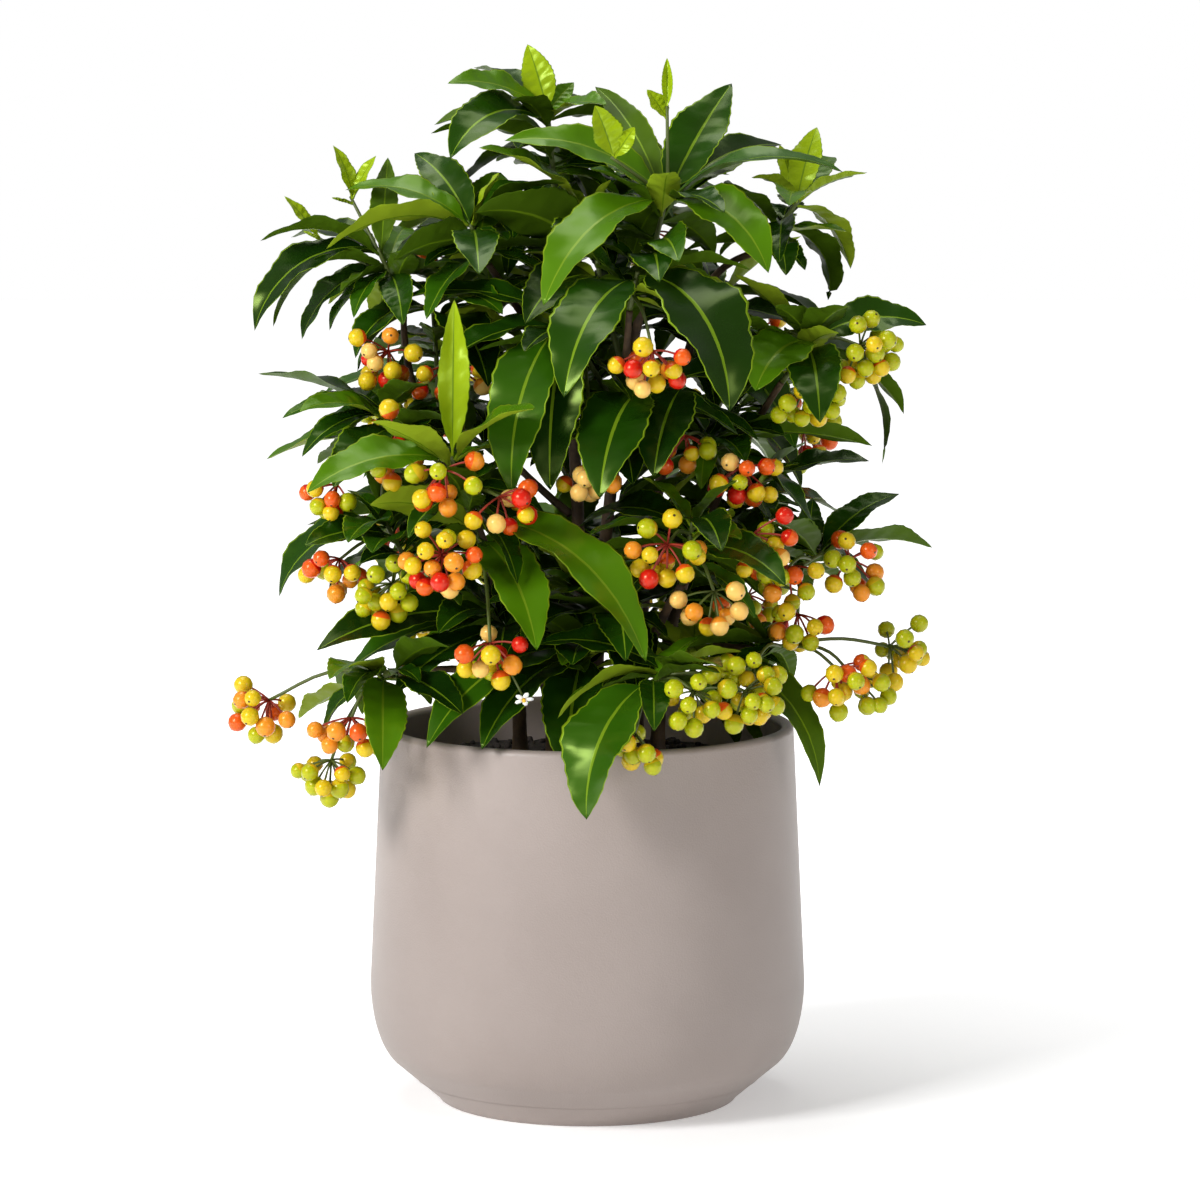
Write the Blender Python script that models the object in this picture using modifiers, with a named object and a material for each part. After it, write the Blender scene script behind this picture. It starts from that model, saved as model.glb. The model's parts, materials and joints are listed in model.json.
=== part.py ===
"""Potted coral ardisia: a small evergreen shrub of several upright stems in a plain round pot.

Sizes in the tables are millimetres and degrees. A heading is measured round the pot's axis from
+X towards +Y, so that 270 faces the front; a rise is measured up from level.
"""

import math
import random
from collections import namedtuple

import bmesh
import bpy
from mathutils import Matrix, Quaternion, Vector
from mathutils.bvhtree import BVHTree

MM = 0.001

# Pot: a turned vessel with a straight foot, a soft shoulder and sides that taper to a rolled lip.
POT_HEIGHT = 151.0
POT_FOOT_RADIUS = 60.5
POT_FOOT_ROUND = 1.5
POT_WIDEST_RADIUS = 87.0
POT_WIDEST_HEIGHT = 47.5
POT_SHOULDER_DEPTH = 33.0
POT_SHOULDER_WIDTH = 13.5
POT_SHOULDER_SWEEP = 68.0
POT_LIP_RADIUS = 82.3
POT_WALL = 5.0
POT_FLOOR = 9.0
POT_STEPS = 36

# Soil: fills the pot to a little below its lip.
SOIL_HEIGHT = 134.0
GAP = 0.3

# Stems and boughs.
STEM_FLARE = 1.45
STEM_TAPER = 0.52
FLARE_HEIGHT = 9.0
BOUGH_RADIUS = 1.7
BOUGH_TAPER = 0.75
TWIG_RADIUS = 1.25
TWIG_TAPER = 0.7
STALK_RADIUS = 0.8
FRUIT_STALK_RADIUS = 0.6

# Leaves and berries.
LEAF_THICKNESS = 0.016
LEAF_STALK_THICKNESS = 1.3
LEAF_FOLD = 14.0
DEEPEST_ROOT = 0.95
LEAF_WIDEST = 0.42
SMALLEST_SOLID_LEAF = 12.0
BERRY_RADIUS = 3.8
SOLID_BERRIES = 3
HIDDEN_BERRIES = 1
HUB_RADIUS = 1.9
BERRY_SIDES = 4
GOLDEN_TURN = 137.5
CLEARANCE = 0.35
SEED = 7

# Small turns and lifts, in degrees, that a piece tries in this order until it is clear.
NUDGES = sorted(
    ((turn, lift) for turn in range(-20, 21, 5) for lift in range(-15, 16, 5)),
    key=lambda nudge: abs(nudge[0]) + abs(nudge[1]),
)

Stem = namedtuple("Stem", "name foot_heading foot_reach heading reach height radius")
Bough = namedtuple("Bough", "name parent at heading reach height bow")
Shoot = namedtuple(
    "Shoot", "name parent at heading rise sag length leaves size tone shown twigs fruit solid_fruit"
)
Blade = namedtuple("Blade", "heading rise sag length width at roll fold tone")
Twig = namedtuple("Twig", "at heading rise sag length shown")
Bunch = namedtuple("Bunch", "at heading rise sag length berries tone")
Leaf = namedtuple("Leaf", "root heading rise sag length width roll fold tone")
Berry = namedtuple("Berry", "hub centre radius tone solid")
Stalk = namedtuple("Stalk", "path foot_radius tip_radius")


def blade(heading, rise, sag, length, width, at=1.0, roll=0, fold=LEAF_FOLD, tone="grown"):
    """A leaf that is placed by hand because it shows."""
    return Blade(heading, rise, sag, length, width, at, roll, fold, tone)


def twig(heading, rise, sag, length, shown, at=1.0):
    return Twig(at, heading, rise, sag, length, shown)


def bunch(heading, rise, sag, length, berries, at=0.8, tone="turning"):
    return Bunch(at, heading, rise, sag, length, berries, tone)


def shoot(name, parent, at, heading, rise, sag, length, leaves=5, size=62, tone="grown",
          shown=(), twigs=(), fruit=(), solid_fruit=SOLID_BERRIES):
    return Shoot(name, parent, at, heading, rise, sag, length, leaves, size, tone, shown, twigs,
                 fruit, solid_fruit)


def hidden_shoot(name, parent, at, heading, rise, sag, length, leaves=10, fruit=2):
    """A shoot that the front does not show: a whorl of leaves, with bunches to either side."""
    bunches = tuple(
        bunch(heading + 100 * (number + 0.5) - 50 * fruit, 20, 55, 32, 7, 0.55 + 0.2 * number, tone)
        for number, tone in zip(range(fruit), ("turning", "lime", "ripe"))
    )
    return shoot(name, parent, at, heading, rise, sag, length, leaves, 62, fruit=bunches,
                 solid_fruit=HIDDEN_BERRIES)


STEMS = (
    Stem("middle_stem", 307, 5, 308, 34, 318, 3.4),
    Stem("front_left_stem", 235, 24, 234, 69, 226, 3.0),
    Stem("front_right_stem", 315, 25, 304, 65, 212, 3.0),
    Stem("left_stem", 176, 27, 187, 62, 268, 3.2),
    Stem("right_stem", 358, 28, 354, 62, 262, 3.2),
    Stem("back_stem", 95, 22, 127, 20, 352, 3.4),
    Stem("back_right_stem", 45, 28, 21, 49, 318, 3.2),
)

BOUGHS = (
    Bough("front_upper_bough", "middle_stem", 0.70, 288, 53, 318, -6),
    Bough("upper_left_bough", "back_stem", 0.72, 200, 41, 334, -4),
    Bough("left_top_bough", "left_stem", 1.0, 188, 73, 318, 0),
    Bough("left_front_bough", "left_stem", 0.75, 203, 76, 262, -4),
    Bough("left_low_bough", "left_stem", 0.40, 210, 76, 212, -3),
    Bough("right_top_bough", "back_right_stem", 1.0, 7, 67, 338, -2),
    Bough("right_mid_bough", "right_stem", 1.0, 348, 78, 288, -2),
    Bough("right_out_bough", "right_stem", 0.60, 346, 83, 215, 3),
    Bough("right_low_bough", "right_stem", 0.35, 334, 78, 184, 3),
    Bough("front_low_bough", "front_right_stem", 0.30, 295, 80, 181, 5),
    Bough("left_rim_bough", "front_left_stem", 0.35, 216, 82, 178, 5),
    Bough("back_left_bough", "back_stem", 0.45, 132, 60, 262, -4),
    Bough("back_low_bough", "back_stem", 0.25, 98, 57, 200, -2),
    Bough("back_out_bough", "back_right_stem", 0.50, 43, 71, 250, -4),
    Bough("back_top_bough", "back_stem", 0.75, 79, 41, 330, -4),
)

SHOOTS = (
    shoot("top_middle_foliage", "middle_stem", 1.0, 340, 78, 4, 45, leaves=4, size=50, shown=(
        blade(185, 50, 60, 70, 19, 0.95, roll=-40, tone="bright"),
        blade(225, 5, 70, 82, 26, roll=-15, tone="bright"),
        blade(45, 58, 15, 58, 24, 0.97, roll=25),
        blade(345, 45, 70, 76, 17, 0.92, roll=15),
        blade(320, 12, 80, 62, 24, 0.97, roll=25, tone="bright"),
        blade(45, 45, 50, 74, 20, 0.85, roll=30),
        blade(120, 60, 40, 72, 14, 0.9, roll=-30, tone="olive"),
        blade(125, 50, 40, 60, 24, roll=-30),
    ), twigs=(
        twig(212, 32, 0, 30, (
            blade(190, 75, 10, 22, 14, 0.95, roll=-70, tone="young"),
            blade(20, 60, 10, 15, 8, roll=60, tone="young"),
        ), 0.97),
        twig(100, 90, 5, 34, (
            blade(90, 80, 10, 21, 7, fold=50, tone="young"),
            blade(170, 70, 10, 14, 9, 0.85, roll=-40, tone="young"),
        )),
    )),
    shoot("front_upper_foliage", "front_upper_bough", 1.0, 300, 68, 0, 16, leaves=1, size=50, shown=(
        blade(310, 5, 95, 82, 37, 0.9, roll=10),
        blade(240, 0, 75, 74, 29, 0.8, roll=-10),
    ), fruit=(
        bunch(280, -5, 40, 46, 9, 0.4, "ripe"),
    )),
    shoot("top_left_foliage", "back_stem", 1.0, 240, 80, 0, 43, leaves=4, size=55, shown=(
        blade(145, 75, 10, 29, 14, roll=-60, tone="young"),
        blade(210, 40, 50, 48, 17, roll=-35, tone="bright"),
        blade(226, 32, 90, 62, 24, 0.85, roll=-25),
        blade(180, 35, 60, 48, 18, 0.75, roll=-20, tone="olive"),
        blade(315, 35, 50, 34, 15, 0.9, roll=20, tone="bright"),
        blade(45, 50, 20, 19, 9, roll=40, tone="bright"),
    )),
    shoot("top_small_foliage", "middle_stem", 0.86, 143, 68, -15, 66, leaves=5, size=58, shown=(
        blade(210, 55, 50, 60, 18, 0.9, roll=-20, tone="bright"),
        blade(215, 50, 60, 64, 27, 0.65, roll=45, tone="olive"),
        blade(210, 50, 10, 14, 6, fold=40, tone="young"),
        blade(330, 60, 10, 16, 6, fold=40, tone="young"),
    )),
    shoot("upper_left_foliage", "upper_left_bough", 1.0, 220, 60, 0, 18, leaves=2, size=55, shown=(
        blade(320, 65, 20, 26, 12, roll=40, tone="young"),
        blade(203, 25, 65, 64, 17, 0.95, roll=30, tone="bright"),
        blade(160, 45, 60, 58, 18, 0.9, roll=-20, tone="bright"),
        blade(130, 55, 40, 52, 18, 0.85, roll=-30),
        blade(228, 10, 35, 48, 20, 0.6, roll=50, tone="olive"),
    )),
    shoot("left_arch_foliage", "left_top_bough", 1.0, 180, 65, 0, 24, leaves=2, size=50, shown=(
        blade(200, 15, 92, 66, 20, roll=-25),
        blade(160, 10, 85, 62, 16, 0.92, roll=-10),
        blade(232, 5, 40, 30, 13, 0.6, roll=20, tone="olive"),
        blade(85, 65, 10, 44, 12, 0.85, tone="olive"),
    ), twigs=(
        twig(140, 55, 0, 32, (
            blade(165, 85, 30, 23, 8, roll=-30, tone="young"),
            blade(20, 75, 20, 20, 7, roll=30, tone="young"),
            blade(190, 20, 10, 9, 4, 0.9, tone="young"),
        ), 0.7),
        twig(170, 28, 0, 34, (
            blade(180, 55, 10, 22, 7, roll=-40, tone="young"),
            blade(200, 30, 10, 8, 4, tone="young"),
        ), 0.45),
    )),
    shoot("right_top_foliage", "right_top_bough", 1.0, 340, 45, -10, 27, leaves=0, shown=(
        blade(60, 70, 20, 34, 14, roll=15, tone="young"),
        blade(340, 45, 45, 32, 9, roll=-10, tone="bright"),
        blade(120, 75, 10, 26, 11, tone="young"),
        blade(205, 70, 80, 24, 9, 0.9, roll=20, tone="bright"),
        blade(285, 0, 80, 26, 14, 0.35),
        blade(15, 0, 110, 42, 18, 0.5, roll=-20),
        blade(80, 40, 60, 24, 15, 0.6),
        blade(320, 5, 60, 24, 14, 0.15),
    )),
    shoot("right_mid_foliage", "right_mid_bough", 1.0, 325, 50, 0, 22, leaves=1, size=50, shown=(
        blade(5, 38, 60, 48, 19, roll=45),
        blade(235, 12, 70, 46, 28, roll=-15, tone="bright"),
        blade(42, 8, 115, 76, 17, 0.85, roll=40),
        blade(110, 45, 40, 32, 10, 0.95, tone="olive"),
        blade(275, 10, 75, 52, 23, 0.8, roll=10),
    ), fruit=(
        bunch(335, 30, 60, 22, 11, 0.9, "lime"),
        bunch(285, 20, 60, 25, 9, 0.2, "lime"),
    )),
    shoot("right_inner_foliage", "right_stem", 0.90, 240, 55, 10, 20, leaves=4, size=55, shown=(
        blade(18, 15, 35, 66, 22, roll=-30, tone="olive"),
        blade(340, 30, 50, 34, 20, roll=20),
        blade(295, 25, 60, 34, 18, 0.9),
    ), fruit=(
        bunch(285, 25, 60, 39, 8, 0.6, "ripe"),
        bunch(260, 30, 40, 30, 4, 0.85, "turning"),
    )),
    shoot("hanging_left_foliage", "middle_stem", 0.78, 228, 50, 0, 48, leaves=4, size=55, shown=(
        blade(240, -18, 80, 82, 27, roll=-10),
        blade(258, -25, 75, 74, 27, 0.9, roll=5),
        blade(172, 32, 50, 68, 17, roll=-20),
        blade(200, 15, 60, 58, 22, 0.85, roll=-10),
    ), fruit=(
        bunch(275, -25, 60, 52, 5, 0.6, "peach"),
    )),
    shoot("hanging_right_foliage", "middle_stem", 0.66, 292, 50, 0, 42, leaves=4, size=55, shown=(
        blade(250, 0, 75, 66, 30, roll=-5),
        blade(345, 40, 60, 52, 24, 0.75, roll=20),
    ), twigs=(
        twig(345, 20, 0, 20, (blade(252, -5, 60, 52, 25),), 0.8),
    )),
    shoot("front_left_foliage", "front_left_stem", 1.0, 236, 62, 0, 42, leaves=4, size=50, shown=(
        blade(85, 88, 10, 62, 14, roll=15, fold=25, tone="young"),
        blade(203, 18, 55, 62, 22, roll=-30, tone="bright"),
        blade(318, 50, 45, 50, 20, 0.95, roll=20, tone="bright"),
        blade(322, 8, 75, 104, 29, 0.3, roll=12, tone="bright"),
        blade(298, -5, 65, 66, 25, 0.12, roll=5, tone="bright"),
        blade(208, 40, 50, 48, 18, 0.2, roll=55, tone="bright"),
        blade(225, 12, 55, 44, 25, 0.08, roll=30, tone="olive"),
    ), fruit=(
        bunch(250, 15, 45, 36, 12, 0.16, "ripe"),
        bunch(278, -15, 60, 50, 8, 0.05, "ripe"),
        bunch(190, 50, 40, 28, 5, 0.75, "turning"),
        bunch(255, 55, 60, 28, 5, 0.6, "turning"),
        bunch(300, 40, 60, 28, 6, 0.5, "ripe"),
    )),
    shoot("left_mid_foliage", "left_front_bough", 1.0, 180, 58, 0, 18, leaves=5, size=50, shown=(
        blade(195, 28, 60, 42, 12, roll=-25),
        blade(160, 10, 60, 38, 12, roll=-20),
        blade(214, 8, 60, 42, 12, 0.92, roll=-20),
        blade(130, 40, 50, 34, 11, 0.85),
    ), fruit=(
        bunch(262, -25, 50, 36, 7, 0.6, "ripe"),
        bunch(222, -25, 45, 36, 4, 0.9, "turning"),
    )),
    shoot("left_dark_foliage", "left_stem", 0.98, 250, 80, 0, 54, leaves=6, size=50, shown=(
        blade(205, 15, 90, 42, 22, roll=-10),
        blade(165, 15, 80, 42, 14),
        blade(300, 10, 80, 56, 24, 0.9),
    ), fruit=(
        bunch(225, 25, 40, 26, 8, 0.6, "ripe"),
        bunch(285, 25, 40, 24, 6, 0.5, "ripe"),
    )),
    shoot("left_low_foliage", "left_low_bough", 1.0, 190, 62, 0, 26, leaves=4, size=50, shown=(
        blade(175, 10, 85, 56, 23, 0.9, roll=-30),
        blade(212, 20, 45, 40, 17, 0.75, roll=-30),
        blade(250, 20, 50, 40, 18, 0.95),
    ), fruit=(
        bunch(203, 5, 50, 24, 9, 0.75, "ripe"),
        bunch(262, 10, 55, 27, 7, 0.4, "lime"),
    )),
    shoot("bottom_left_foliage", "front_left_stem", 0.50, 210, 45, 0, 22, leaves=2, size=52, shown=(
        blade(205, 12, 40, 76, 24, roll=-30),
        blade(192, 5, 45, 64, 22, 0.8, roll=-15),
        blade(245, 22, 50, 48, 18, 0.95, roll=-15),
        blade(212, -5, 40, 56, 20, 0.6, roll=-20),
    )),
    shoot("bottom_front_foliage", "front_left_stem", 0.30, 330, 50, 0, 24, leaves=2, size=52, shown=(
        blade(222, 15, 70, 94, 26, roll=-15),
        blade(232, 0, 60, 74, 25, 0.85, roll=-5),
        blade(262, 5, 75, 64, 26, 0.8),
        blade(262, 30, 60, 46, 24, roll=5),
    )),
    shoot("left_fruit", "left_rim_bough", 1.0, 195, 10, 70, 26, leaves=0, fruit=(
        bunch(176, 12, 50, 52, 10, 0.3, "turning"),
        bunch(228, -20, 55, 20, 9, 0.6, "turning"),
        bunch(192, -55, 20, 27, 11, 0.97, "lime"),
    )),
    shoot("front_right_foliage", "front_right_stem", 1.0, 300, 72, 0, 26, leaves=5, size=56, fruit=(
        bunch(250, 25, 55, 28, 9, 0.8, "ripe"),
        bunch(292, 10, 70, 30, 6, 0.5, "peach"),
        bunch(350, 20, 50, 24, 6, 0.9, "ripe"),
    )),
    shoot("rim_front_foliage", "front_low_bough", 1.0, 215, -10, 10, 12, leaves=0, shown=(
        blade(228, -10, 85, 68, 32, roll=-5),
    ), fruit=(
        bunch(245, -10, 60, 30, 5, 0.7, "lime"),
        bunch(312, 15, 50, 20, 8, 0.7, "lime"),
        bunch(345, 15, 50, 32, 8, 0.4, "lime"),
    )),
    shoot("right_low_foliage", "right_low_bough", 1.0, 330, 20, 0, 14, leaves=1, size=45, fruit=(
        bunch(18, 8, 25, 40, 7, 0.9, "lime"),
        bunch(325, 5, 50, 24, 7, 0.7, "turning"),
        bunch(342, -10, 60, 28, 9, 0.95, "lime"),
        bunch(250, 20, 50, 38, 9, 0.5, "lime"),
    )),
    shoot("right_fruit", "right_out_bough", 1.0, 335, 30, 0, 14, leaves=1, size=45, fruit=(
        bunch(330, 5, 25, 13, 8, 0.9, "turning"),
        bunch(245, 20, 45, 24, 7, 0.6, "turning"),
        bunch(262, -15, 55, 27, 7, 0.3, "turning"),
    )),
    shoot("right_rim_foliage", "right_stem", 0.20, 320, 45, 0, 24, leaves=2, size=48, shown=(
        blade(325, 12, 100, 82, 18, roll=20, tone="olive"),
        blade(330, 40, 60, 40, 16, 0.85, roll=10),
    )),
    shoot("middle_front_foliage", "front_right_stem", 0.60, 200, 40, 0, 30, leaves=9, size=60),
    hidden_shoot("back_top_foliage", "back_top_bough", 1.0, 60, 75, 0, 32, leaves=9, fruit=1),
    hidden_shoot("back_upper_left_foliage", "back_stem", 0.85, 160, 45, -20, 40, leaves=9, fruit=1),
    hidden_shoot("back_left_foliage", "back_left_bough", 1.0, 150, 65, 0, 30, leaves=9, fruit=2),
    hidden_shoot("left_back_foliage", "left_stem", 0.60, 140, 40, -10, 38, leaves=9, fruit=1),
    hidden_shoot("back_left_low_foliage", "left_stem", 0.35, 110, 35, -10, 36, leaves=9, fruit=2),
    hidden_shoot("back_low_foliage", "back_low_bough", 1.0, 100, 60, 0, 24, leaves=9, fruit=2),
    hidden_shoot("back_middle_foliage", "back_stem", 0.60, 85, 40, -15, 42, leaves=9, fruit=2),
    hidden_shoot("back_right_foliage", "back_out_bough", 1.0, 50, 65, 0, 34, leaves=9, fruit=2),
    hidden_shoot("back_upper_right_foliage", "back_right_stem", 0.85, 50, 50, -15, 34, leaves=9, fruit=1),
    hidden_shoot("right_back_foliage", "right_stem", 0.65, 40, 35, -10, 38, leaves=9, fruit=1),
    hidden_shoot("back_right_low_foliage", "back_right_stem", 0.30, 50, 35, -10, 36, leaves=9, fruit=2),
)


def toward(heading, rise):
    """The unit vector of a heading and a rise, in degrees."""
    turn = math.radians(heading)
    tilt = math.radians(rise)
    return Vector((math.cos(turn) * math.cos(tilt), math.sin(turn) * math.cos(tilt), math.sin(tilt)))


def place(heading, reach, height):
    """A point at a reach from the pot's axis and a height above its foot."""
    level = toward(heading, 0) * reach
    return Vector((level.x, level.y, height))


def sagging_path(start, heading, rise, sag, length, steps):
    """Points of a stalk that sets out at a rise and bends down by its sag on the way."""
    points = [start.copy()]
    for index in range(steps):
        angle = rise - sag * (index + 0.5) / steps
        points.append(points[-1] + toward(heading, angle) * (length / steps))
    return points


def bowed_path(start, bend, end, steps):
    """Points from start to end that set out towards the bend."""
    points = []
    for index in range(steps + 1):
        t = index / steps
        points.append(start * (1 - t) ** 2 + bend * (2 * t * (1 - t)) + end * t ** 2)
    return points


def along(path, at):
    """The point and the direction at a fraction of a path's length."""
    spans = [(b - a).length for a, b in zip(path, path[1:])]
    left = at * sum(spans)
    for a, b, span in zip(path, path[1:], spans):
        if left <= span:
            return a + (b - a) * (left / span), (b - a).normalized()
        left -= span
    return path[-1], (path[-1] - path[-2]).normalized()


def radius_at(stalk, at):
    return stalk.foot_radius + (stalk.tip_radius - stalk.foot_radius) * at


def seat(parent, at, aim, radius):
    """Where a limb starts: just clear of its parent's tip, or of its side that faces the aim."""
    point, axis = along(parent.path, at)
    lean = abs(aim.dot(axis))
    if at >= 1:
        return point + axis * (GAP + radius * math.sqrt(max(0.0, 1 - lean * lean)))
    side = (aim - axis * aim.dot(axis)).normalized()
    return point + side * (radius_at(parent, at) + radius * lean + GAP)


def grow_stems():
    """Each stem leaves the soil straight up and leans out to its tip."""
    grown = {}
    for stem in STEMS:
        foot = place(stem.foot_heading, stem.foot_reach, SOIL_HEIGHT + GAP)
        tip = place(stem.heading, stem.reach, stem.height)
        collar = foot + Vector((0, 0, FLARE_HEIGHT))
        bend = collar + Vector((0, 0, 0.45 * (tip.z - foot.z)))
        path = [foot] + bowed_path(collar, bend, tip, 7)
        grown[stem.name] = Stalk(path, stem.radius, stem.radius * STEM_TAPER)
    return grown


def grow_boughs(limbs):
    for bough in BOUGHS:
        parent = limbs[bough.parent]
        tip = place(bough.heading, bough.reach, bough.height)
        base, axis = along(parent.path, bough.at)
        if bough.at >= 1:
            bend = base + axis * (tip - base).length / 2
        else:
            bend = (base + tip) / 2 + Vector((0, 0, bough.bow))
        start = seat(parent, bough.at, (bend - base).normalized(), BOUGH_RADIUS)
        path = bowed_path(start, bend, tip, 4)
        limbs[bough.name] = Stalk(path, BOUGH_RADIUS, BOUGH_RADIUS * BOUGH_TAPER)


def shoot_stalk(spec, limbs):
    """The stem of a mass: it starts clear of its bough's tip or of its stem's side."""
    start = seat(limbs[spec.parent], spec.at, toward(spec.heading, spec.rise), TWIG_RADIUS)
    path = sagging_path(start, spec.heading, spec.rise, spec.sag, spec.length, 3)
    return Stalk(path, TWIG_RADIUS, TWIG_RADIUS * TWIG_TAPER)


def tube_shape(path, foot_radius, tip_radius=None, sides=6):
    """Corners and faces of a plain tube, for telling what it touches."""
    corners = []
    faces = []
    for index, point in enumerate(path):
        radius = foot_radius
        if tip_radius is not None:
            radius += (tip_radius - foot_radius) * index / (len(path) - 1)
        before = path[max(index - 1, 0)]
        after = path[min(index + 1, len(path) - 1)]
        turn = (after - before).to_track_quat("Z", "Y")
        for side in range(sides):
            angle = math.tau * side / sides
            corners.append(point + turn @ Vector((math.cos(angle), math.sin(angle), 0)) * radius)
    for index in range(len(path) - 1):
        for side in range(sides):
            a = index * sides + side
            b = index * sides + (side + 1) % sides
            faces.append((a, b, b + sides, a + sides))
    return corners, faces


def leaf_shape(leaf, thickness, start=0.0, spread=0.0):
    """Corners and faces of a leaf: a thin lens on an arching midrib, with its edges folded up."""
    steps = 12
    path = sagging_path(leaf.root, leaf.heading, leaf.rise, leaf.sag, leaf.length, steps)

    def corner(u, side, lift):
        point, tangent = along(path, u)
        across = tangent.cross(Vector((0, 0, 1)))
        if across.length < 0.2:
            across = toward(leaf.heading - 90, 0)
        across = Quaternion(tangent, math.radians(leaf.roll)) @ across.normalized()
        upward = across.cross(tangent)
        fold = math.radians(leaf.fold)
        half = side * (leaf.width * 0.5 + spread)
        return point + across * half * math.cos(fold) + upward * (abs(half) * math.sin(fold) + lift)

    corners = [
        corner(start, 0, LEAF_STALK_THICKNESS / 2),
        corner(start, 0, -LEAF_STALK_THICKNESS / 2),
        corner(LEAF_WIDEST, -1, 0),
        corner(1.0, 0, 0),
        corner(LEAF_WIDEST, 1, 0),
        corner(0.5, 0, thickness / 2),
        corner(0.5, 0, -thickness / 2),
    ]
    faces = [(5, 2, 0), (5, 3, 2), (5, 4, 3), (5, 0, 4)]
    faces += [(6, 1, 2), (6, 2, 3), (6, 3, 4), (6, 4, 1)]
    faces += [(0, 2, 1), (0, 1, 4)]
    return corners, faces


def ball_shape(centre, radius):
    """Corners and faces of a rough ball, for telling what it touches."""
    sides = 6
    corners = [centre + toward(60 * side, -35) * radius for side in range(sides)]
    corners += [centre + toward(60 * side + 30, 35) * radius for side in range(sides)]
    corners += [centre - Vector((0, 0, radius)), centre + Vector((0, 0, radius))]
    faces = []
    for side in range(sides):
        after = (side + 1) % sides
        faces += [(side, after, side + sides), (after, after + sides, side + sides)]
        faces += [(after, side, 2 * sides), (side + sides, after + sides, 2 * sides + 1)]
    return corners, faces


class Space:
    """What has grown so far, so that each new piece can keep clear of it."""

    def __init__(self):
        self.pieces = []

    @staticmethod
    def box(corners):
        low = [min(corner[axis] for corner in corners) for axis in range(3)]
        high = [max(corner[axis] for corner in corners) for axis in range(3)]
        return low, high

    def add(self, owner, whole, outer):
        """Keeps a piece: the whole of it, and the part that its own mass must keep clear of."""
        box = self.box(whole[0])
        self.pieces.append((owner, BVHTree.FromPolygons(*whole), BVHTree.FromPolygons(*outer), box))

    def touches(self, owner, whole, outer):
        """The owner of the first piece in the way, or None."""
        low, high = self.box(whole[0])
        trees = {}
        for other, other_whole, other_outer, (other_low, other_high) in self.pieces:
            if any(low[a] > other_high[a] or high[a] < other_low[a] for a in range(3)):
                continue
            own = other == owner
            if own not in trees:
                trees[own] = BVHTree.FromPolygons(*(outer if own else whole))
            if trees[own].overlap(other_outer if own else other_whole):
                return other
        return None


def fits(space, owner, whole, outer):
    return space.touches(owner, whole, outer) is None


def leaf_fits(space, owner, leaf):
    thick = leaf.length * LEAF_THICKNESS + 2 * CLEARANCE
    whole = leaf_shape(leaf, thick, 0.0, CLEARANCE)
    outer = leaf_shape(leaf, thick, 0.2, CLEARANCE)
    return fits(space, owner, whole, outer)


def keep_leaf(space, owner, leaf):
    thick = leaf.length * LEAF_THICKNESS
    space.add(owner, leaf_shape(leaf, thick), leaf_shape(leaf, thick, 0.2))


def keep_stalk(space, owner, stalk, free_from=0.0):
    """Keeps a stalk; its own mass keeps clear of it from the fraction free_from on."""
    rest = [along(stalk.path, free_from)[0]] + stalk.path[1:]
    radii = stalk.foot_radius, stalk.tip_radius
    space.add(owner, tube_shape(stalk.path, *radii), tube_shape(rest, *radii))


class Mass:
    """One mass of the crown: its stem, side twigs, leaves and fruit."""

    def __init__(self, spec, stalk):
        self.spec = spec
        self.stalks = [stalk]
        self.leaves = []
        self.berries = []
        self.hubs = []
        self.twigs = []

    @property
    def stem(self):
        return self.stalks[0]


def grow_twigs(mass, space):
    for spec in mass.spec.twigs:
        start = along(mass.stem.path, spec.at)[0]
        path = sagging_path(start, spec.heading, spec.rise, spec.sag, spec.length, 2)
        stalk = Stalk(path, STALK_RADIUS, STALK_RADIUS * 0.8)
        mass.stalks.append(stalk)
        mass.twigs.append((stalk, spec))
        keep_stalk(space, mass.spec.name, stalk, 0.25)


def grow_shown_leaves(mass, space, missed):
    """The leaves that are placed by hand, on the stem and on its side twigs."""
    holders = [(mass.stem, mass.spec.shown)]
    holders += [(stalk, spec.shown) for stalk, spec in mass.twigs]
    for stalk, shown in holders:
        for item in shown:
            root = along(stalk.path, min(item.at, DEEPEST_ROOT))[0]
            for turn, lift in NUDGES:
                leaf = Leaf(root, item.heading + turn, item.rise + lift, item.sag, item.length,
                            item.width, item.roll, item.fold, item.tone)
                if leaf_fits(space, mass.spec.name, leaf):
                    mass.leaves.append(leaf)
                    keep_leaf(space, mass.spec.name, leaf)
                    break
            else:
                missed.append((mass.spec.name, "shown leaf", item.heading))


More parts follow.
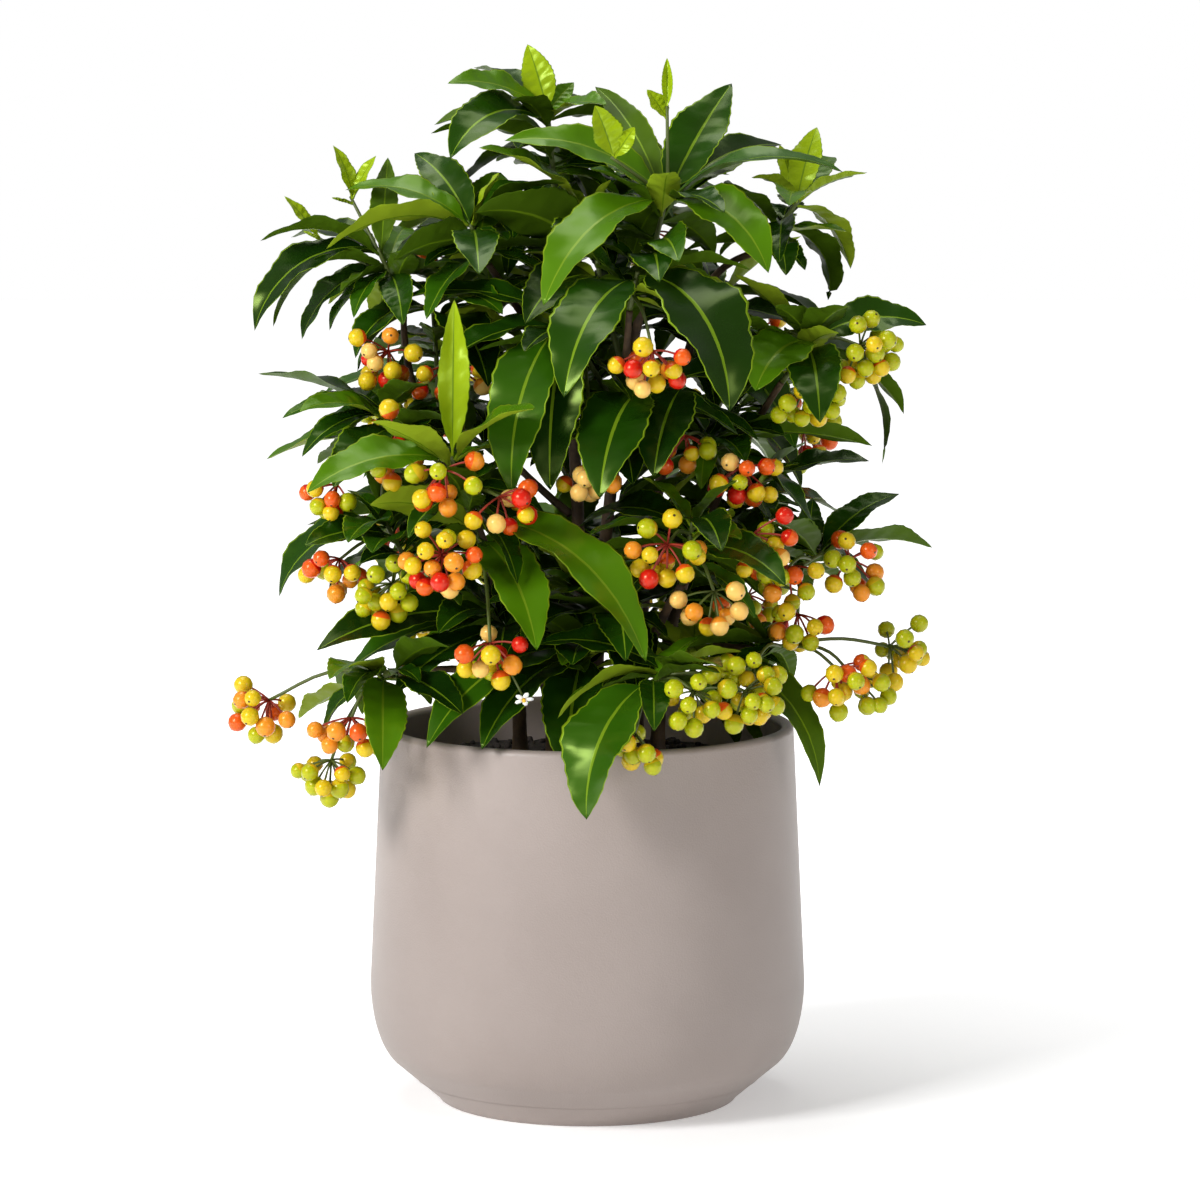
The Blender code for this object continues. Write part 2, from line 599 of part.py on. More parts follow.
def grow_bunch(mass, spec, space, chance, missed):
    """A stalk that ends in a hub, with berries on thin stalks that fan out and hang from it."""
    name = mass.spec.name
    start = along(mass.stem.path, spec.at)[0]
    for turn, lift in NUDGES:
        path = sagging_path(start, spec.heading + 2 * turn, spec.rise + lift, spec.sag, spec.length, 2)
        whole = tube_shape(path, STALK_RADIUS + CLEARANCE)
        outer = tube_shape([along(path, 0.2)[0]] + path[1:], STALK_RADIUS + CLEARANCE)
        if fits(space, name, whole, outer):
            break
    else:
        missed.append((name, "bunch", spec.heading))
        return
    stalk = Stalk(path, STALK_RADIUS, STALK_RADIUS * 0.85)
    mass.stalks.append(stalk)
    keep_stalk(space, name, stalk, 0.2)
    hub, axis = along(path, 1.0)
    mass.hubs.append(hub)
    across = axis.orthogonal().normalized()
    placed = 0
    for index in range(spec.berries * 6):
        if placed == spec.berries:
            break
        turn = math.radians(GOLDEN_TURN * index) + chance.uniform(-0.2, 0.2)
        spread = math.radians(25 + 75 * math.sqrt((placed + 0.5) / spec.berries))
        side = Quaternion(axis, turn) @ across
        aim = axis * math.cos(spread) + side * math.sin(spread) + Vector((0, 0, -0.65))
        reach = chance.uniform(7.0, 11.5) + BERRY_RADIUS
        centre = hub + aim.normalized() * reach
        radius = BERRY_RADIUS * chance.uniform(0.88, 1.06)
        ball = ball_shape(centre, radius * 1.15 + CLEARANCE)
        free = hub.lerp(centre, 0.35)
        thread = tube_shape([hub, centre], FRUIT_STALK_RADIUS + CLEARANCE, sides=3)
        outer_thread = tube_shape([free, centre], FRUIT_STALK_RADIUS, sides=3)
        if not fits(space, name, ball, ball) or not fits(space, name, thread, outer_thread):
            continue
        solid = placed * mass.spec.solid_fruit % spec.berries < mass.spec.solid_fruit
        mass.berries.append(Berry(hub, centre, radius, spec.tone, solid))
        space.add(name, ball_shape(centre, radius * 1.15), ball_shape(centre, radius * 1.15))
        space.add(name, tube_shape([hub, centre], FRUIT_STALK_RADIUS, sides=3), outer_thread)
        placed += 1
    if placed < spec.berries:
        missed.append((name, "berries", spec.berries - placed))


def grow_rule_leaves(mass, space, chance, missed):
    """Leaves in a spiral up the stem, the higher ones more upright, each kept clear of the rest."""
    spec = mass.spec
    turn = chance.uniform(0, 360)
    for index in range(spec.leaves):
        at = 0.35 + 0.65 * (index + 0.5) / spec.leaves
        size = spec.size * chance.uniform(0.8, 1.12) * (1.0 - 0.25 * max(0, at - 0.85) / 0.15)
        root = along(mass.stem.path, at)[0]
        for attempt in range(24):
            heading = turn + GOLDEN_TURN * (index + attempt * 0.6)
            rise = chance.uniform(-5, 45) - 20 * (1 - at)
            sag = chance.uniform(35, 85)
            shorter = 1.0 - 0.018 * attempt
            leaf = Leaf(root, heading % 360, rise, sag, size * shorter,
                        size * shorter * chance.uniform(0.34, 0.40), chance.uniform(-22, 22),
                        LEAF_FOLD, spec.tone)
            if leaf_fits(space, spec.name, leaf):
                mass.leaves.append(leaf)
                keep_leaf(space, spec.name, leaf)
                break
        else:
            missed.append((spec.name, "rule leaf", index))


def grow():
    """Limbs and masses, each piece clear of every piece of another limb or mass."""
    limbs = grow_stems()
    grow_boughs(limbs)
    space = Space()
    missed = []
    for name, limb in limbs.items():
        keep_stalk(space, name, limb)
    keep_pot(space)
    masses = [Mass(spec, shoot_stalk(spec, limbs)) for spec in SHOOTS]
    for mass in masses:
        whole = tube_shape(mass.stem.path, mass.stem.foot_radius, mass.stem.tip_radius)
        hit = space.touches(mass.spec.name, whole, whole)
        if hit:
            missed.append((mass.spec.name, "stem touches", hit))
        keep_stalk(space, mass.spec.name, mass.stem)
    for mass in masses:
        grow_twigs(mass, space)
    for mass in masses:
        grow_shown_leaves(mass, space, missed)
    for number, mass in enumerate(masses):
        chance = random.Random(SEED + number)
        for spec in mass.spec.fruit:
            grow_bunch(mass, spec, space, chance, missed)
    for number, mass in enumerate(masses):
        grow_rule_leaves(mass, space, random.Random(SEED * 100 + number), missed)
    return limbs, masses, missed


def keep_pot(space):
    """The pot's walls and lip and the top of the soil, which the leaves keep clear of."""
    below = POT_HEIGHT - 60
    inside = POT_LIP_RADIUS - POT_WALL - 1
    wall = [
        (inside, below), (inside, POT_HEIGHT + 0.5), (POT_LIP_RADIUS + 1, POT_HEIGHT + 0.5),
        (POT_LIP_RADIUS + 1.5, POT_HEIGHT - 3), (pot_outside(below) + 1.5, below),
    ]
    for profile in (wall, [(1, SOIL_HEIGHT + 0.3), (inside, SOIL_HEIGHT + 0.3)]):
        corners = []
        faces = []
        sides = 36
        for radius, height in profile:
            corners += [place(360 * side / sides, radius, height) for side in range(sides)]
        for ring in range(len(profile) - 1):
            for side in range(sides):
                a = ring * sides + side
                b = ring * sides + (side + 1) % sides
                faces.append((a, b, b + sides, a + sides))
        space.add("pot", (corners, faces), (corners, faces))


def clear_scene():
    for item in list(bpy.data.objects):
        bpy.data.objects.remove(item, do_unlink=True)


def new_collection(name, parent):
    collection = bpy.data.collections.new(name)
    parent.children.link(collection)
    return collection


def new_material(name, colour, roughness):
    material = bpy.data.materials.new(name)
    material.use_nodes = True
    shader = material.node_tree.nodes["Principled BSDF"]
    shader.inputs["Base Color"].default_value = (*colour, 1.0)
    shader.inputs["Roughness"].default_value = roughness
    shader.inputs["Metallic"].default_value = 0.0
    material.diffuse_color = (*colour, 1.0)
    return material


def add_object(name, data, collection, material=None):
    item = bpy.data.objects.new(name, data)
    collection.objects.link(item)
    if material:
        data.materials.append(material)
    return item


def turned_object(name, profile, steps, collection, material):
    """A profile of (radius, height) points turned round the upright axis."""
    mesh = bpy.data.meshes.new(name)
    corners = [(radius * MM, 0, height * MM) for radius, height in profile]
    mesh.from_pydata(corners, [(i, i + 1) for i in range(len(corners) - 1)], [])
    item = add_object(name, mesh, collection, material)
    screw = item.modifiers.new("turn", "SCREW")
    screw.steps = steps
    screw.render_steps = steps
    screw.use_merge_vertices = True
    screw.merge_threshold = 0.00001
    screw.use_smooth_shade = True
    return item


def pot_outside(height):
    """The outer radius of the pot's upper side at a height."""
    share = (height - POT_WIDEST_HEIGHT) / (POT_HEIGHT - POT_WIDEST_HEIGHT)
    return POT_WIDEST_RADIUS + (POT_LIP_RADIUS - POT_WIDEST_RADIUS) * share


def shoulder(inset, count):
    """Points of the round shoulder from its top to where the straight foot begins."""
    points = []
    for index in range(count + 1):
        sweep = math.radians(POT_SHOULDER_SWEEP) * index / count
        radius = POT_WIDEST_RADIUS - POT_SHOULDER_WIDTH * (1 - math.cos(sweep)) - inset
        height = POT_WIDEST_HEIGHT - POT_SHOULDER_DEPTH * math.sin(sweep) + inset * 0.7 * math.sin(sweep)
        points.append((radius, height))
    return points


def lip(count):
    """Points over the rolled lip, from the inside to the outside."""
    round_radius = POT_WALL / 2
    middle = POT_LIP_RADIUS - round_radius
    points = []
    for index in range(count + 1):
        sweep = math.pi * (1 - index / count)
        points.append((
            middle + round_radius * math.cos(sweep),
            POT_HEIGHT - round_radius + round_radius * math.sin(sweep),
        ))
    return points


def inner_profile(inset):
    """The pot's inner side from the middle of its floor up to below the lip, moved in by inset."""
    side = list(reversed(shoulder(POT_WALL + inset, 3)))
    floor_edge = side[0][0] - 4
    return [(0, POT_FLOOR + inset), (floor_edge, POT_FLOOR + inset)] + side


def build_pot(collection):
    outer = shoulder(0, 4)
    foot = [
        (POT_FOOT_RADIUS, POT_FOOT_ROUND * 0.6),
        (POT_FOOT_RADIUS - POT_FOOT_ROUND, 0),
        (0, 0),
    ]
    profile = inner_profile(0) + lip(3) + outer + foot
    material = new_material("stoneware", (0.40, 0.35, 0.33), 0.55)
    return turned_object("pot", profile, POT_STEPS, collection, material)


def build_soil(collection):
    inside = inner_profile(GAP)
    rim = (pot_outside(SOIL_HEIGHT) - POT_WALL - GAP, SOIL_HEIGHT)
    profile = list(reversed(inside + [rim, (0, SOIL_HEIGHT)]))
    material = new_material("potting soil", (0.03, 0.02, 0.015), 0.95)
    return turned_object("soil", profile, POT_STEPS, collection, material)


def three_sided_section(collection):
    """The cross-section of the small twigs: a triangle 1 mm from its middle to its corners."""
    curve = bpy.data.curves.new("three_sided_section", "CURVE")
    curve.dimensions = "2D"
    spline = curve.splines.new("POLY")
    spline.points.add(2)
    spline.use_cyclic_u = True
    for index, point in enumerate(spline.points):
        angle = math.tau * index / 3
        point.co = (math.cos(angle) * MM, math.sin(angle) * MM, 0, 1.0)
    section = add_object(curve.name, curve, collection)
    section.hide_render = True
    section.display_type = "WIRE"
    return section


def tube_curve(name, stalk, collection, roundness=1, section=None, material=None):
    """A tapering limb as a curve with filled ends, round or with the section it is given."""
    curve = bpy.data.curves.new(name, "CURVE")
    curve.dimensions = "3D"
    if section:
        curve.bevel_mode = "OBJECT"
        curve.bevel_object = section
    else:
        curve.bevel_depth = MM
        curve.bevel_resolution = roundness
    curve.use_fill_caps = True
    spline = curve.splines.new("POLY")
    spline.points.add(len(stalk.path) - 1)
    last = len(stalk.path) - 1
    for index, (point, corner) in enumerate(zip(spline.points, stalk.path)):
        point.co = (*(corner * MM), 1.0)
        point.radius = radius_at(stalk, index / last)
    return add_object(name, curve, collection, material)


def as_mesh(item):
    """The object's evaluated shape as a mesh of its own, with the caps of a curve welded on."""
    graph = bpy.context.evaluated_depsgraph_get()
    mesh = bpy.data.meshes.new_from_object(item.evaluated_get(graph))
    shape = bmesh.new()
    shape.from_mesh(mesh)
    bmesh.ops.remove_doubles(shape, verts=shape.verts, dist=0.00001)
    bmesh.ops.recalc_face_normals(shape, faces=shape.faces)
    shape.to_mesh(mesh)
    shape.free()
    return mesh


def curve_to_mesh(item, collection):
    name = item.name
    mesh = as_mesh(item)
    bpy.data.objects.remove(item, do_unlink=True)
    mesh.name = name
    return add_object(name, mesh, collection)


def build_limbs(limbs, collection):
    bark = new_material("bark", (0.11, 0.07, 0.035), 0.7)
    for name, limb in limbs.items():
        item = tube_curve(name, limb, collection, material=bark)
        if name.endswith("stem"):
            item.data.splines[0].points[0].radius *= STEM_FLARE


def leaf_object(name, leaf, collection):
    corners, faces = leaf_shape(leaf, leaf.length * LEAF_THICKNESS)
    mesh = bpy.data.meshes.new(name)
    mesh.from_pydata([corner * MM for corner in corners], [], faces)
    return add_object(name, mesh, collection)


def fruit_object(name, berry, collection):
    """A berry and the thin stalk that it hangs from, turned as one shape from the hub outward."""
    reach = (berry.centre - berry.hub).length
    belly = berry.radius * 1.1
    profile = (
        (0, 0),
        (FRUIT_STALK_RADIUS, 0),
        (FRUIT_STALK_RADIUS, reach - belly * 0.9),
        (belly, reach - belly * 0.4),
        (belly, reach + belly * 0.4),
        (0, reach + belly),
    )
    shape = bmesh.new()
    corners = [shape.verts.new((radius * MM, 0, height * MM)) for radius, height in profile]
    edges = [shape.edges.new(pair) for pair in zip(corners, corners[1:])]
    bmesh.ops.spin(
        shape, geom=corners + edges, cent=(0, 0, 0), axis=(0, 0, 1), angle=math.tau,
        steps=BERRY_SIDES, use_merge=True,
    )
    bmesh.ops.remove_doubles(shape, verts=shape.verts, dist=0.000001)
    bmesh.ops.recalc_face_normals(shape, faces=shape.faces)
    turn = (berry.centre - berry.hub).to_track_quat("Z", "Y").to_matrix().to_4x4()
    shape.transform(Matrix.Translation(berry.hub * MM) @ turn)
    mesh = bpy.data.meshes.new(name)
    shape.to_mesh(mesh)
    shape.free()
    return add_object(name, mesh, collection)


def hub_object(name, hub, collection):
    """The small knot at the end of a stalk, from which the berries' own stalks fan out."""
    shape = bmesh.new()
    bmesh.ops.create_uvsphere(shape, u_segments=4, v_segments=2, radius=HUB_RADIUS * MM)
    bmesh.ops.translate(shape, verts=shape.verts, vec=hub * MM)
    mesh = bpy.data.meshes.new(name)
    shape.to_mesh(mesh)
    shape.free()
    return add_object(name, mesh, collection)


def keep_largest_body(mesh):
    """Drops loose scraps and fills sealed hollows; True if one closed body is left."""
    shape = bmesh.new()
    shape.from_mesh(mesh)
    bmesh.ops.remove_doubles(shape, verts=shape.verts, dist=0.0000001)
    bmesh.ops.triangulate(shape, faces=shape.faces)
    bodies = []
    seen = set()
    for first in shape.verts:
        if first in seen:
            continue
        seen.add(first)
        body = [first]
        for corner in body:
            for edge in corner.link_edges:
                other = edge.other_vert(corner)
                if other not in seen:
                    seen.add(other)
                    body.append(other)
        bodies.append(body)
    bodies.sort(key=len, reverse=True)
    scraps = [corner for body in bodies[1:] for corner in body]
    if scraps:
        bmesh.ops.delete(shape, geom=scraps, context="VERTS")
    closed = all(len(edge.link_faces) == 2 for edge in shape.edges)
    if closed:
        shape.to_mesh(mesh)
    shape.free()
    return closed and all(len(body) < 12 for body in bodies[1:])


def join_mass(stem, pieces, solver):
    """The union of a stem with all its pieces as one mesh, or None where it isn't one body."""
    union = stem.modifiers.new("join", "BOOLEAN")
    union.operation = "UNION"
    union.operand_type = "COLLECTION"
    union.collection = pieces
    union.solver = solver
    graph = bpy.context.evaluated_depsgraph_get()
    mesh = bpy.data.meshes.new_from_object(stem.evaluated_get(graph))
    stem.modifiers.remove(union)
    if keep_largest_body(mesh):
        return mesh
    bpy.data.meshes.remove(mesh)
    return None


def build_mass(mass, collection, scratch, section, material):
    """Stem, side stalks, leaves and fruit as loose pieces, then joined into one solid."""
    name = mass.spec.name
    stem = curve_to_mesh(tube_curve(name, mass.stem, collection, section=section), collection)
    pieces = new_collection(name + "_pieces", scratch)
    for index, stalk in enumerate(mass.stalks[1:]):
        curve = tube_curve(f"{name}_stalk_{index}", stalk, pieces, section=section)
        curve_to_mesh(curve, pieces)
    for index, hub in enumerate(mass.hubs):
        hub_object(f"{name}_hub_{index}", hub, pieces)
    for index, berry in enumerate(mass.berries):
        if berry.solid:
            fruit_object(f"{name}_fruit_{index}", berry, pieces)
    grown = [leaf for leaf in mass.leaves if leaf.length > SMALLEST_SOLID_LEAF]
    leaves = [leaf_object(f"{name}_leaf_{index}", leaf, pieces) for index, leaf in enumerate(grown)]
    joined = join_mass(stem, pieces, "EXACT") or join_mass(stem, pieces, "MANIFOLD")
    while joined is None and leaves:
        bpy.data.objects.remove(leaves.pop(), do_unlink=True)
        joined = join_mass(stem, pieces, "EXACT") or join_mass(stem, pieces, "MANIFOLD")
        print(f"{name}: a leaf left out")
    if joined is None:
        raise RuntimeError(f"{name} did not join into one body")
    for item in list(pieces.objects):
        bpy.data.objects.remove(item, do_unlink=True)
    stem.data = joined
    joined.name = name
    joined.materials.append(material)
    bpy.data.collections.remove(pieces)


def main():
    clear_scene()
    limbs, masses, missed = grow()
    parts = new_collection("potted_coral_ardisia", bpy.context.scene.collection)
    scratch = new_collection("pieces", bpy.context.scene.collection)
    build_pot(parts)
    build_soil(parts)
    build_limbs(limbs, parts)
    section = three_sided_section(scratch)
    leaf_green = new_material("leaf green", (0.03, 0.12, 0.012), 0.35)
    fruit_green = new_material("fruit green", (0.42, 0.38, 0.02), 0.35)
    for mass in masses:
        material = leaf_green if len(mass.leaves) > 1 else fruit_green
        build_mass(mass, parts, scratch, section, material)
    bpy.data.objects.remove(section, do_unlink=True)
    bpy.data.collections.remove(scratch)
    print(f"{len(missed)} pieces had no room")


if __name__ == "__main__":
    main()
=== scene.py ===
"""The looks of a potted coral ardisia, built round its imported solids.

The growth rule and its tables use millimetres and degrees. A heading is measured round the pot's
axis from +X towards +Y, so that 270 faces the front; a rise is measured up from level.
"""

import json
import math
import random
from collections import namedtuple

import bpy
from bpy.props import FloatProperty, FloatVectorProperty, IntProperty, PointerProperty
from bpy.types import Operator, Panel, PropertyGroup
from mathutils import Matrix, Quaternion, Vector, noise
from mathutils.bvhtree import BVHTree

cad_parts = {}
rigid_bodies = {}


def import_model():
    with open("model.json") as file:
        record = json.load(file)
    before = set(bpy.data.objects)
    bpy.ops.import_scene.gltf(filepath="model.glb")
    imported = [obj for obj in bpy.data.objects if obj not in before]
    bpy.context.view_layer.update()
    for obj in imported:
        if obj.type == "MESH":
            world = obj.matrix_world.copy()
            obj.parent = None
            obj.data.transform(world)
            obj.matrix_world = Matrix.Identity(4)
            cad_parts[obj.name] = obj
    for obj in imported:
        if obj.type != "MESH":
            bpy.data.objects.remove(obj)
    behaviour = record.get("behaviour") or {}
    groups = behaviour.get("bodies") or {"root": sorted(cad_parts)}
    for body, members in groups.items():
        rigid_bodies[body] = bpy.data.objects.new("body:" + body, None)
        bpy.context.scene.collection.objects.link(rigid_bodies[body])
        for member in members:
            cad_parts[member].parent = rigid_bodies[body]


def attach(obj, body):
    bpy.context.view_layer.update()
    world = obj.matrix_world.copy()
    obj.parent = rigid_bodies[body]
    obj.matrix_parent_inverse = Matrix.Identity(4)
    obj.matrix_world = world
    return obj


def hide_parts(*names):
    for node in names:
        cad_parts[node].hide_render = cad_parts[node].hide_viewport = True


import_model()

bl_info = {
    "name": "Potted coral ardisia",
    "version": (1, 0, 0),
    "blender": (4, 5, 0),
    "location": "3D View > Sidebar > Ardisia",
    "description": "Dresses a potted coral ardisia: pot, soil, stems, leaves, berries and stage",
    "category": "Object",
}

MM = 0.001
MERGE_DISTANCE = 0.01 * MM

# Pot: a turned vessel with a straight foot, a soft shoulder and sides that taper to a rolled lip.
POT_HEIGHT = 151.0
POT_FOOT_RADIUS = 60.5
POT_FOOT_ROUND = 1.5
FOOT_ROUND_IN = 0.4
FOOT_ROUND_UP = 0.3
POT_WIDEST_RADIUS = 87.0
POT_WIDEST_HEIGHT = 47.5
POT_SHOULDER_DEPTH = 33.0
POT_SHOULDER_WIDTH = 13.5
POT_SHOULDER_SWEEP = 68.0
POT_LIP_RADIUS = 82.3
POT_WALL = 5.0
POT_FLOOR = 9.0
SHOULDER_INSET_LIFT = 0.7
FLOOR_EDGE_INSET = 4.0
POT_STEPS_INSIDE = 3
POT_STEPS_LIP = 12
POT_STEPS_SHOULDER = 14

# The coarse shape of the pot that leaves keep clear of, with its room over and beside the rim.
RIM_LIFT = 0.5
RIM_ROOM = 1.0
WALL_ROOM = 1.5
RIM_DEPTH = 3.0
WALL_DEPTH = 60.0
POT_SIDES = 36

# Soil: fills the pot to a little below its lip. Its relief is in metres.
SOIL_HEIGHT = 134.0
GAP = 0.3
SOIL_RINGS = 26
SOIL_STEPS = 96
SOIL_DIP = 0.6
SOIL_TOP = 2
SOIL_RELIEF = 0.0013
SOIL_RELIEF_SCALE = 140
CRUMB_SIZES = (0.8, 2.2)
CRUMB_EDGE = 3
CRUMB_LIFT = 0.1
CRUMB_TILT = 30
CRUMB_LENGTHS = (0.6, 1.5)
CRUMB_WIDTHS = (0.6, 1.2)
CRUMB_HEIGHT = 0.7

# Stems and boughs.
STEM_FLARE = 1.45
STEM_TAPER = 0.52
FLARE_HEIGHT = 9.0
BOUGH_RADIUS = 1.7
BOUGH_TAPER = 0.75
TWIG_RADIUS = 1.25
TWIG_TAPER = 0.7
STALK_RADIUS = 0.8
FRUIT_STALK_RADIUS = 0.6
STEM_STRAIGHT = 0.45
SIDE_TWIG_TAPER = 0.8
BUNCH_STALK_TAPER = 0.85

# Leaves and berries.
LEAF_THICKNESS = 0.016
LEAF_STALK_THICKNESS = 1.3
LEAF_FOLD = 14.0
DEEPEST_ROOT = 0.95
LOWEST_RULE_LEAF = 0.35
RULE_LEAF_SPAN = 0.65
RULE_LEAF_SIZES = (0.8, 1.12)
TOP_LEAVES_FROM = 0.85
TOP_LEAVES_SPAN = 0.15
TOP_LEAVES_SMALLER = 0.25
LEAF_PROPORTIONS = (0.34, 0.40)
RULE_LEAF_RISES = (-5, 45)
LOW_LEAVES_DROP = 20
RULE_LEAF_SAGS = (35, 85)
RULE_LEAF_ROLLS = (-22, 22)
RULE_LEAF_SHORTER = 0.018
FILL_LEAF_SIZES = (30, 56)
FILL_LEAVES_FROM = 0.15
FILL_LEAF_RISES = (-10, 60)
FILL_LEAF_SAGS = (25, 75)
FILL_LEAF_ROLLS = (-25, 25)
FILL_LEAF_SHORTER = 0.02
TRY_TURN = 0.6
LEAF_STEPS = 12
NEARLY_UPRIGHT = 0.2
FREE_FROM = 0.2
TWIG_FREE_FROM = 0.25
LEAF_TRIES = 24
FILL_LEAF_TRIES = 12
LEAF_WIDEST = 0.42
BERRY_RADIUS = 3.8
BERRY_ROOM = 1.15
BERRY_SQUEEZE = 0.8
BERRY_TRIES = 6
FILL_BERRY_TRIES = 70
BUNCH_DROOP = 0.65
BUNCH_TURN_PLAY = 0.2
BUNCH_SPREAD = 25
BUNCH_SPREAD_MORE = 75
BERRY_REACH = (7.0, 11.5)
BERRY_SIZES = (0.88, 1.06)
THREAD_FREE_FROM = 0.35
FILL_BERRY_LEAN = 0.7
FILL_BERRY_DROOP = 0.3
FILL_BERRY_REACH = (8.5, 15.0)
FILL_BERRY_SIZES = (0.84, 1.04)
GOLDEN_TURN = 137.5
CLEARANCE = 0.35
SEED = 7

# How finely the looks are made, and the kinds of leaf and berry.
LEAF_COLUMNS = (-1.0, -0.94, -0.5, -0.05, 0.05, 0.5, 0.94, 1.0)
LEAF_RINGS = 29
BARK_SIDES = 12
BARK_STEP = 1.6
BARK_RELIEF = 0.09
BARK_RELIEF_ROUND = 2.2
BARK_RELIEF_ALONG = 0.22
SCAR_SPACING = 9.0
SCAR_LENGTH = 1.7
SCAR_HEIGHT = 0.09
TWIG_SIDES = 6
STALK_SIDES = 5
BERRY_SEGMENTS = 10
BERRY_RINGS = (14, 44, 74, 104, 134, 160, 172)
BERRY_STALK_END = 0.97
BERRY_POINT_END = 1.06
BERRY_HANG = 0.5
BERRY_STALK_RADII = (0.5, 0.42, 0.42, 0.48, 0.6)
BERRY_STALK_BOW = 0.14

LEAF_KINDS = ("grown_dark", "grown", "grown_light", "bright", "young", "olive",
              "underside", "young_underside", "rib", "margin")
BERRY_KINDS = ("red", "orange", "peach", "pale", "yellow", "lime", "apex")
BERRY_MIX = {
    "ripe": ("red", "orange", "peach", "yellow", "yellow", "yellow", "yellow", "pale", "lime"),
    "turning": ("orange", "peach", "yellow", "yellow", "lime", "lime"),
    "peach": ("peach", "pale", "pale", "yellow"),
    "lime": ("lime", "lime", "lime", "yellow"),
}
BLUSH = {"orange": "red", "peach": "orange", "pale": "peach", "yellow": "orange", "lime": "yellow"}
BLUSH_CHANCE = 0.5
BLUSH_RINGS = 2
LIME_EXTRA = 3

# Leaf blades, and the colours of the reflections on leaves and fruit.
STALK_SHARE = 0.09
WIDTH_SKEW = 0.86
WIDTH_FULLNESS = 0.82
WIDTH_TAPER = 0.12
STALK_HALF_WIDTH = 0.55
STALK_SWELL_TO = 0.3
TEETH_FROM = 0.14
TEETH_TO = 0.96
WAVED_WIDTH = 22
WAVES = (2.0, 3.2)
RIB_HALF_WIDTH = 0.1
RIB_THICKNESS = 0.5
GROOVE_DEPTH = 0.3
GROOVE_HALF_WIDTH = 0.3
DEPTH_ABOVE = 0.3
DEPTH_BELOW = 0.7
TOOTH_DEPTH = 0.06
VEIN_HEIGHT = 1.5
VEINS = 7
VEIN_SWEEP = 0.12
UPPER_LEAVES_FROM = 290.0

# The flower; PETAL_SIZE is half the length, width and thickness of a petal.
FLOWER_PLACE = Vector((-24.0, -90.0, 173.0))
FLOWER_AIM = Vector((0.1, -0.75, -0.65)).normalized()
FLOWER_STALK_RADIUS = 0.45
PETALS = 5
PETAL_SIZE = (2.1, 1.25, 0.35)
PETAL_OUT = 2.2
PETAL_UP = 0.5
STAMEN_RADIUS = 0.9
STAMEN_UP = 1.2

# Finishes, with the depth in metres.
COAT_ROUGHNESS = 0.12
SUBSURFACE_DEPTH = 0.004
PATCH_EDGES = (0.35, 0.65)
GRAIN_DETAIL = 3.0
GRAIN_STRENGTH = 0.6
TWIG_ROUGHNESS = 0.5
MATT_KINDS = ("underside", "young_underside", "olive")
WHITE = (1.0, 1.0, 1.0)
LEAF_SHEEN = (0.62, 0.86, 0.2)
FRUIT_SHEEN = (1.0, 0.8, 0.45)

# Light and camera.
ROOM_LIGHT = 0.28
# The floor glows, least near the pot as a painted shadow round its foot; the glow rises between
# GLOW_STARTS and GLOW_FULL metres from the middle.
PAINTED_SHADOW_GLOW = 0.28
FAR_GLOW = 0.8
GLOW_STARTS = 0.1
GLOW_FULL = 0.7
CAMERA_TILT = 83.4
CAMERA_LENS = 144.15
CAMERA_SENSOR = 36.0
CAMERA_PLACE = (0.005, -1.9, 0.42)
FLOOR_SIZE = 12
LIGHT_AIM = Vector((0, 0, 0.2))
# Name, place in metres, size in metres and power in watts.
LIGHTS = (
    ("key_light", (-1.5, -1.3, 1.2), 0.7, 44),
    ("fill_light", (1.3, -1.5, 0.8), 0.5, 6),
    ("top_light", (-0.2, 0.3, 2.0), 1.2, 16),
)

# Small turns and lifts, in degrees, that a piece tries in this order until it is clear.
NUDGES = sorted(
    ((turn, lift) for turn in range(-20, 21, 5) for lift in range(-15, 16, 5)),
    key=lambda nudge: abs(nudge[0]) + abs(nudge[1]),
)

Stem = namedtuple("Stem", "name foot_heading foot_reach heading reach height radius")
Bough = namedtuple("Bough", "name parent at heading reach height bow")
Shoot = namedtuple(
    "Shoot", "name parent at heading rise sag length leaves size tone shown twigs fruit"
)
Blade = namedtuple("Blade", "heading rise sag length width at roll fold tone")
Twig = namedtuple("Twig", "at heading rise sag length shown")
Bunch = namedtuple("Bunch", "at heading rise sag length berries tone")
Leaf = namedtuple("Leaf", "root heading rise sag length width roll fold tone")
Berry = namedtuple("Berry", "hub centre radius tone")
Stalk = namedtuple("Stalk", "path foot_radius tip_radius")


def blade(heading, rise, sag, length, width, at=1.0, roll=0, fold=LEAF_FOLD, tone="grown"):
    """A leaf that is placed one by one because it shows."""
    return Blade(heading, rise, sag, length, width, at, roll, fold, tone)


def twig(heading, rise, sag, length, shown, at=1.0):
    return Twig(at, heading, rise, sag, length, shown)


def bunch(heading, rise, sag, length, berries, at=0.8, tone="turning"):
    return Bunch(at, heading, rise, sag, length, berries, tone)


def shoot(name, parent, at, heading, rise, sag, length, leaves=5, size=62, tone="grown",
          shown=(), twigs=(), fruit=()):
    return Shoot(
        name, parent, at, heading, rise, sag, length, leaves, size, tone, shown, twigs, fruit)


def hidden_shoot(name, parent, at, heading, rise, sag, length, leaves=10, fruit=2):
    """A shoot that the front does not show: a whorl of leaves, with bunches to either side."""
    bunches = tuple(
        bunch(heading + 100 * (number + 0.5) - 50 * fruit, 20, 55, 32, 7, 0.55 + 0.2 * number, tone)
        for number, tone in zip(range(fruit), ("turning", "lime", "ripe"))
    )
    return shoot(name, parent, at, heading, rise, sag, length, leaves, 62, fruit=bunches)


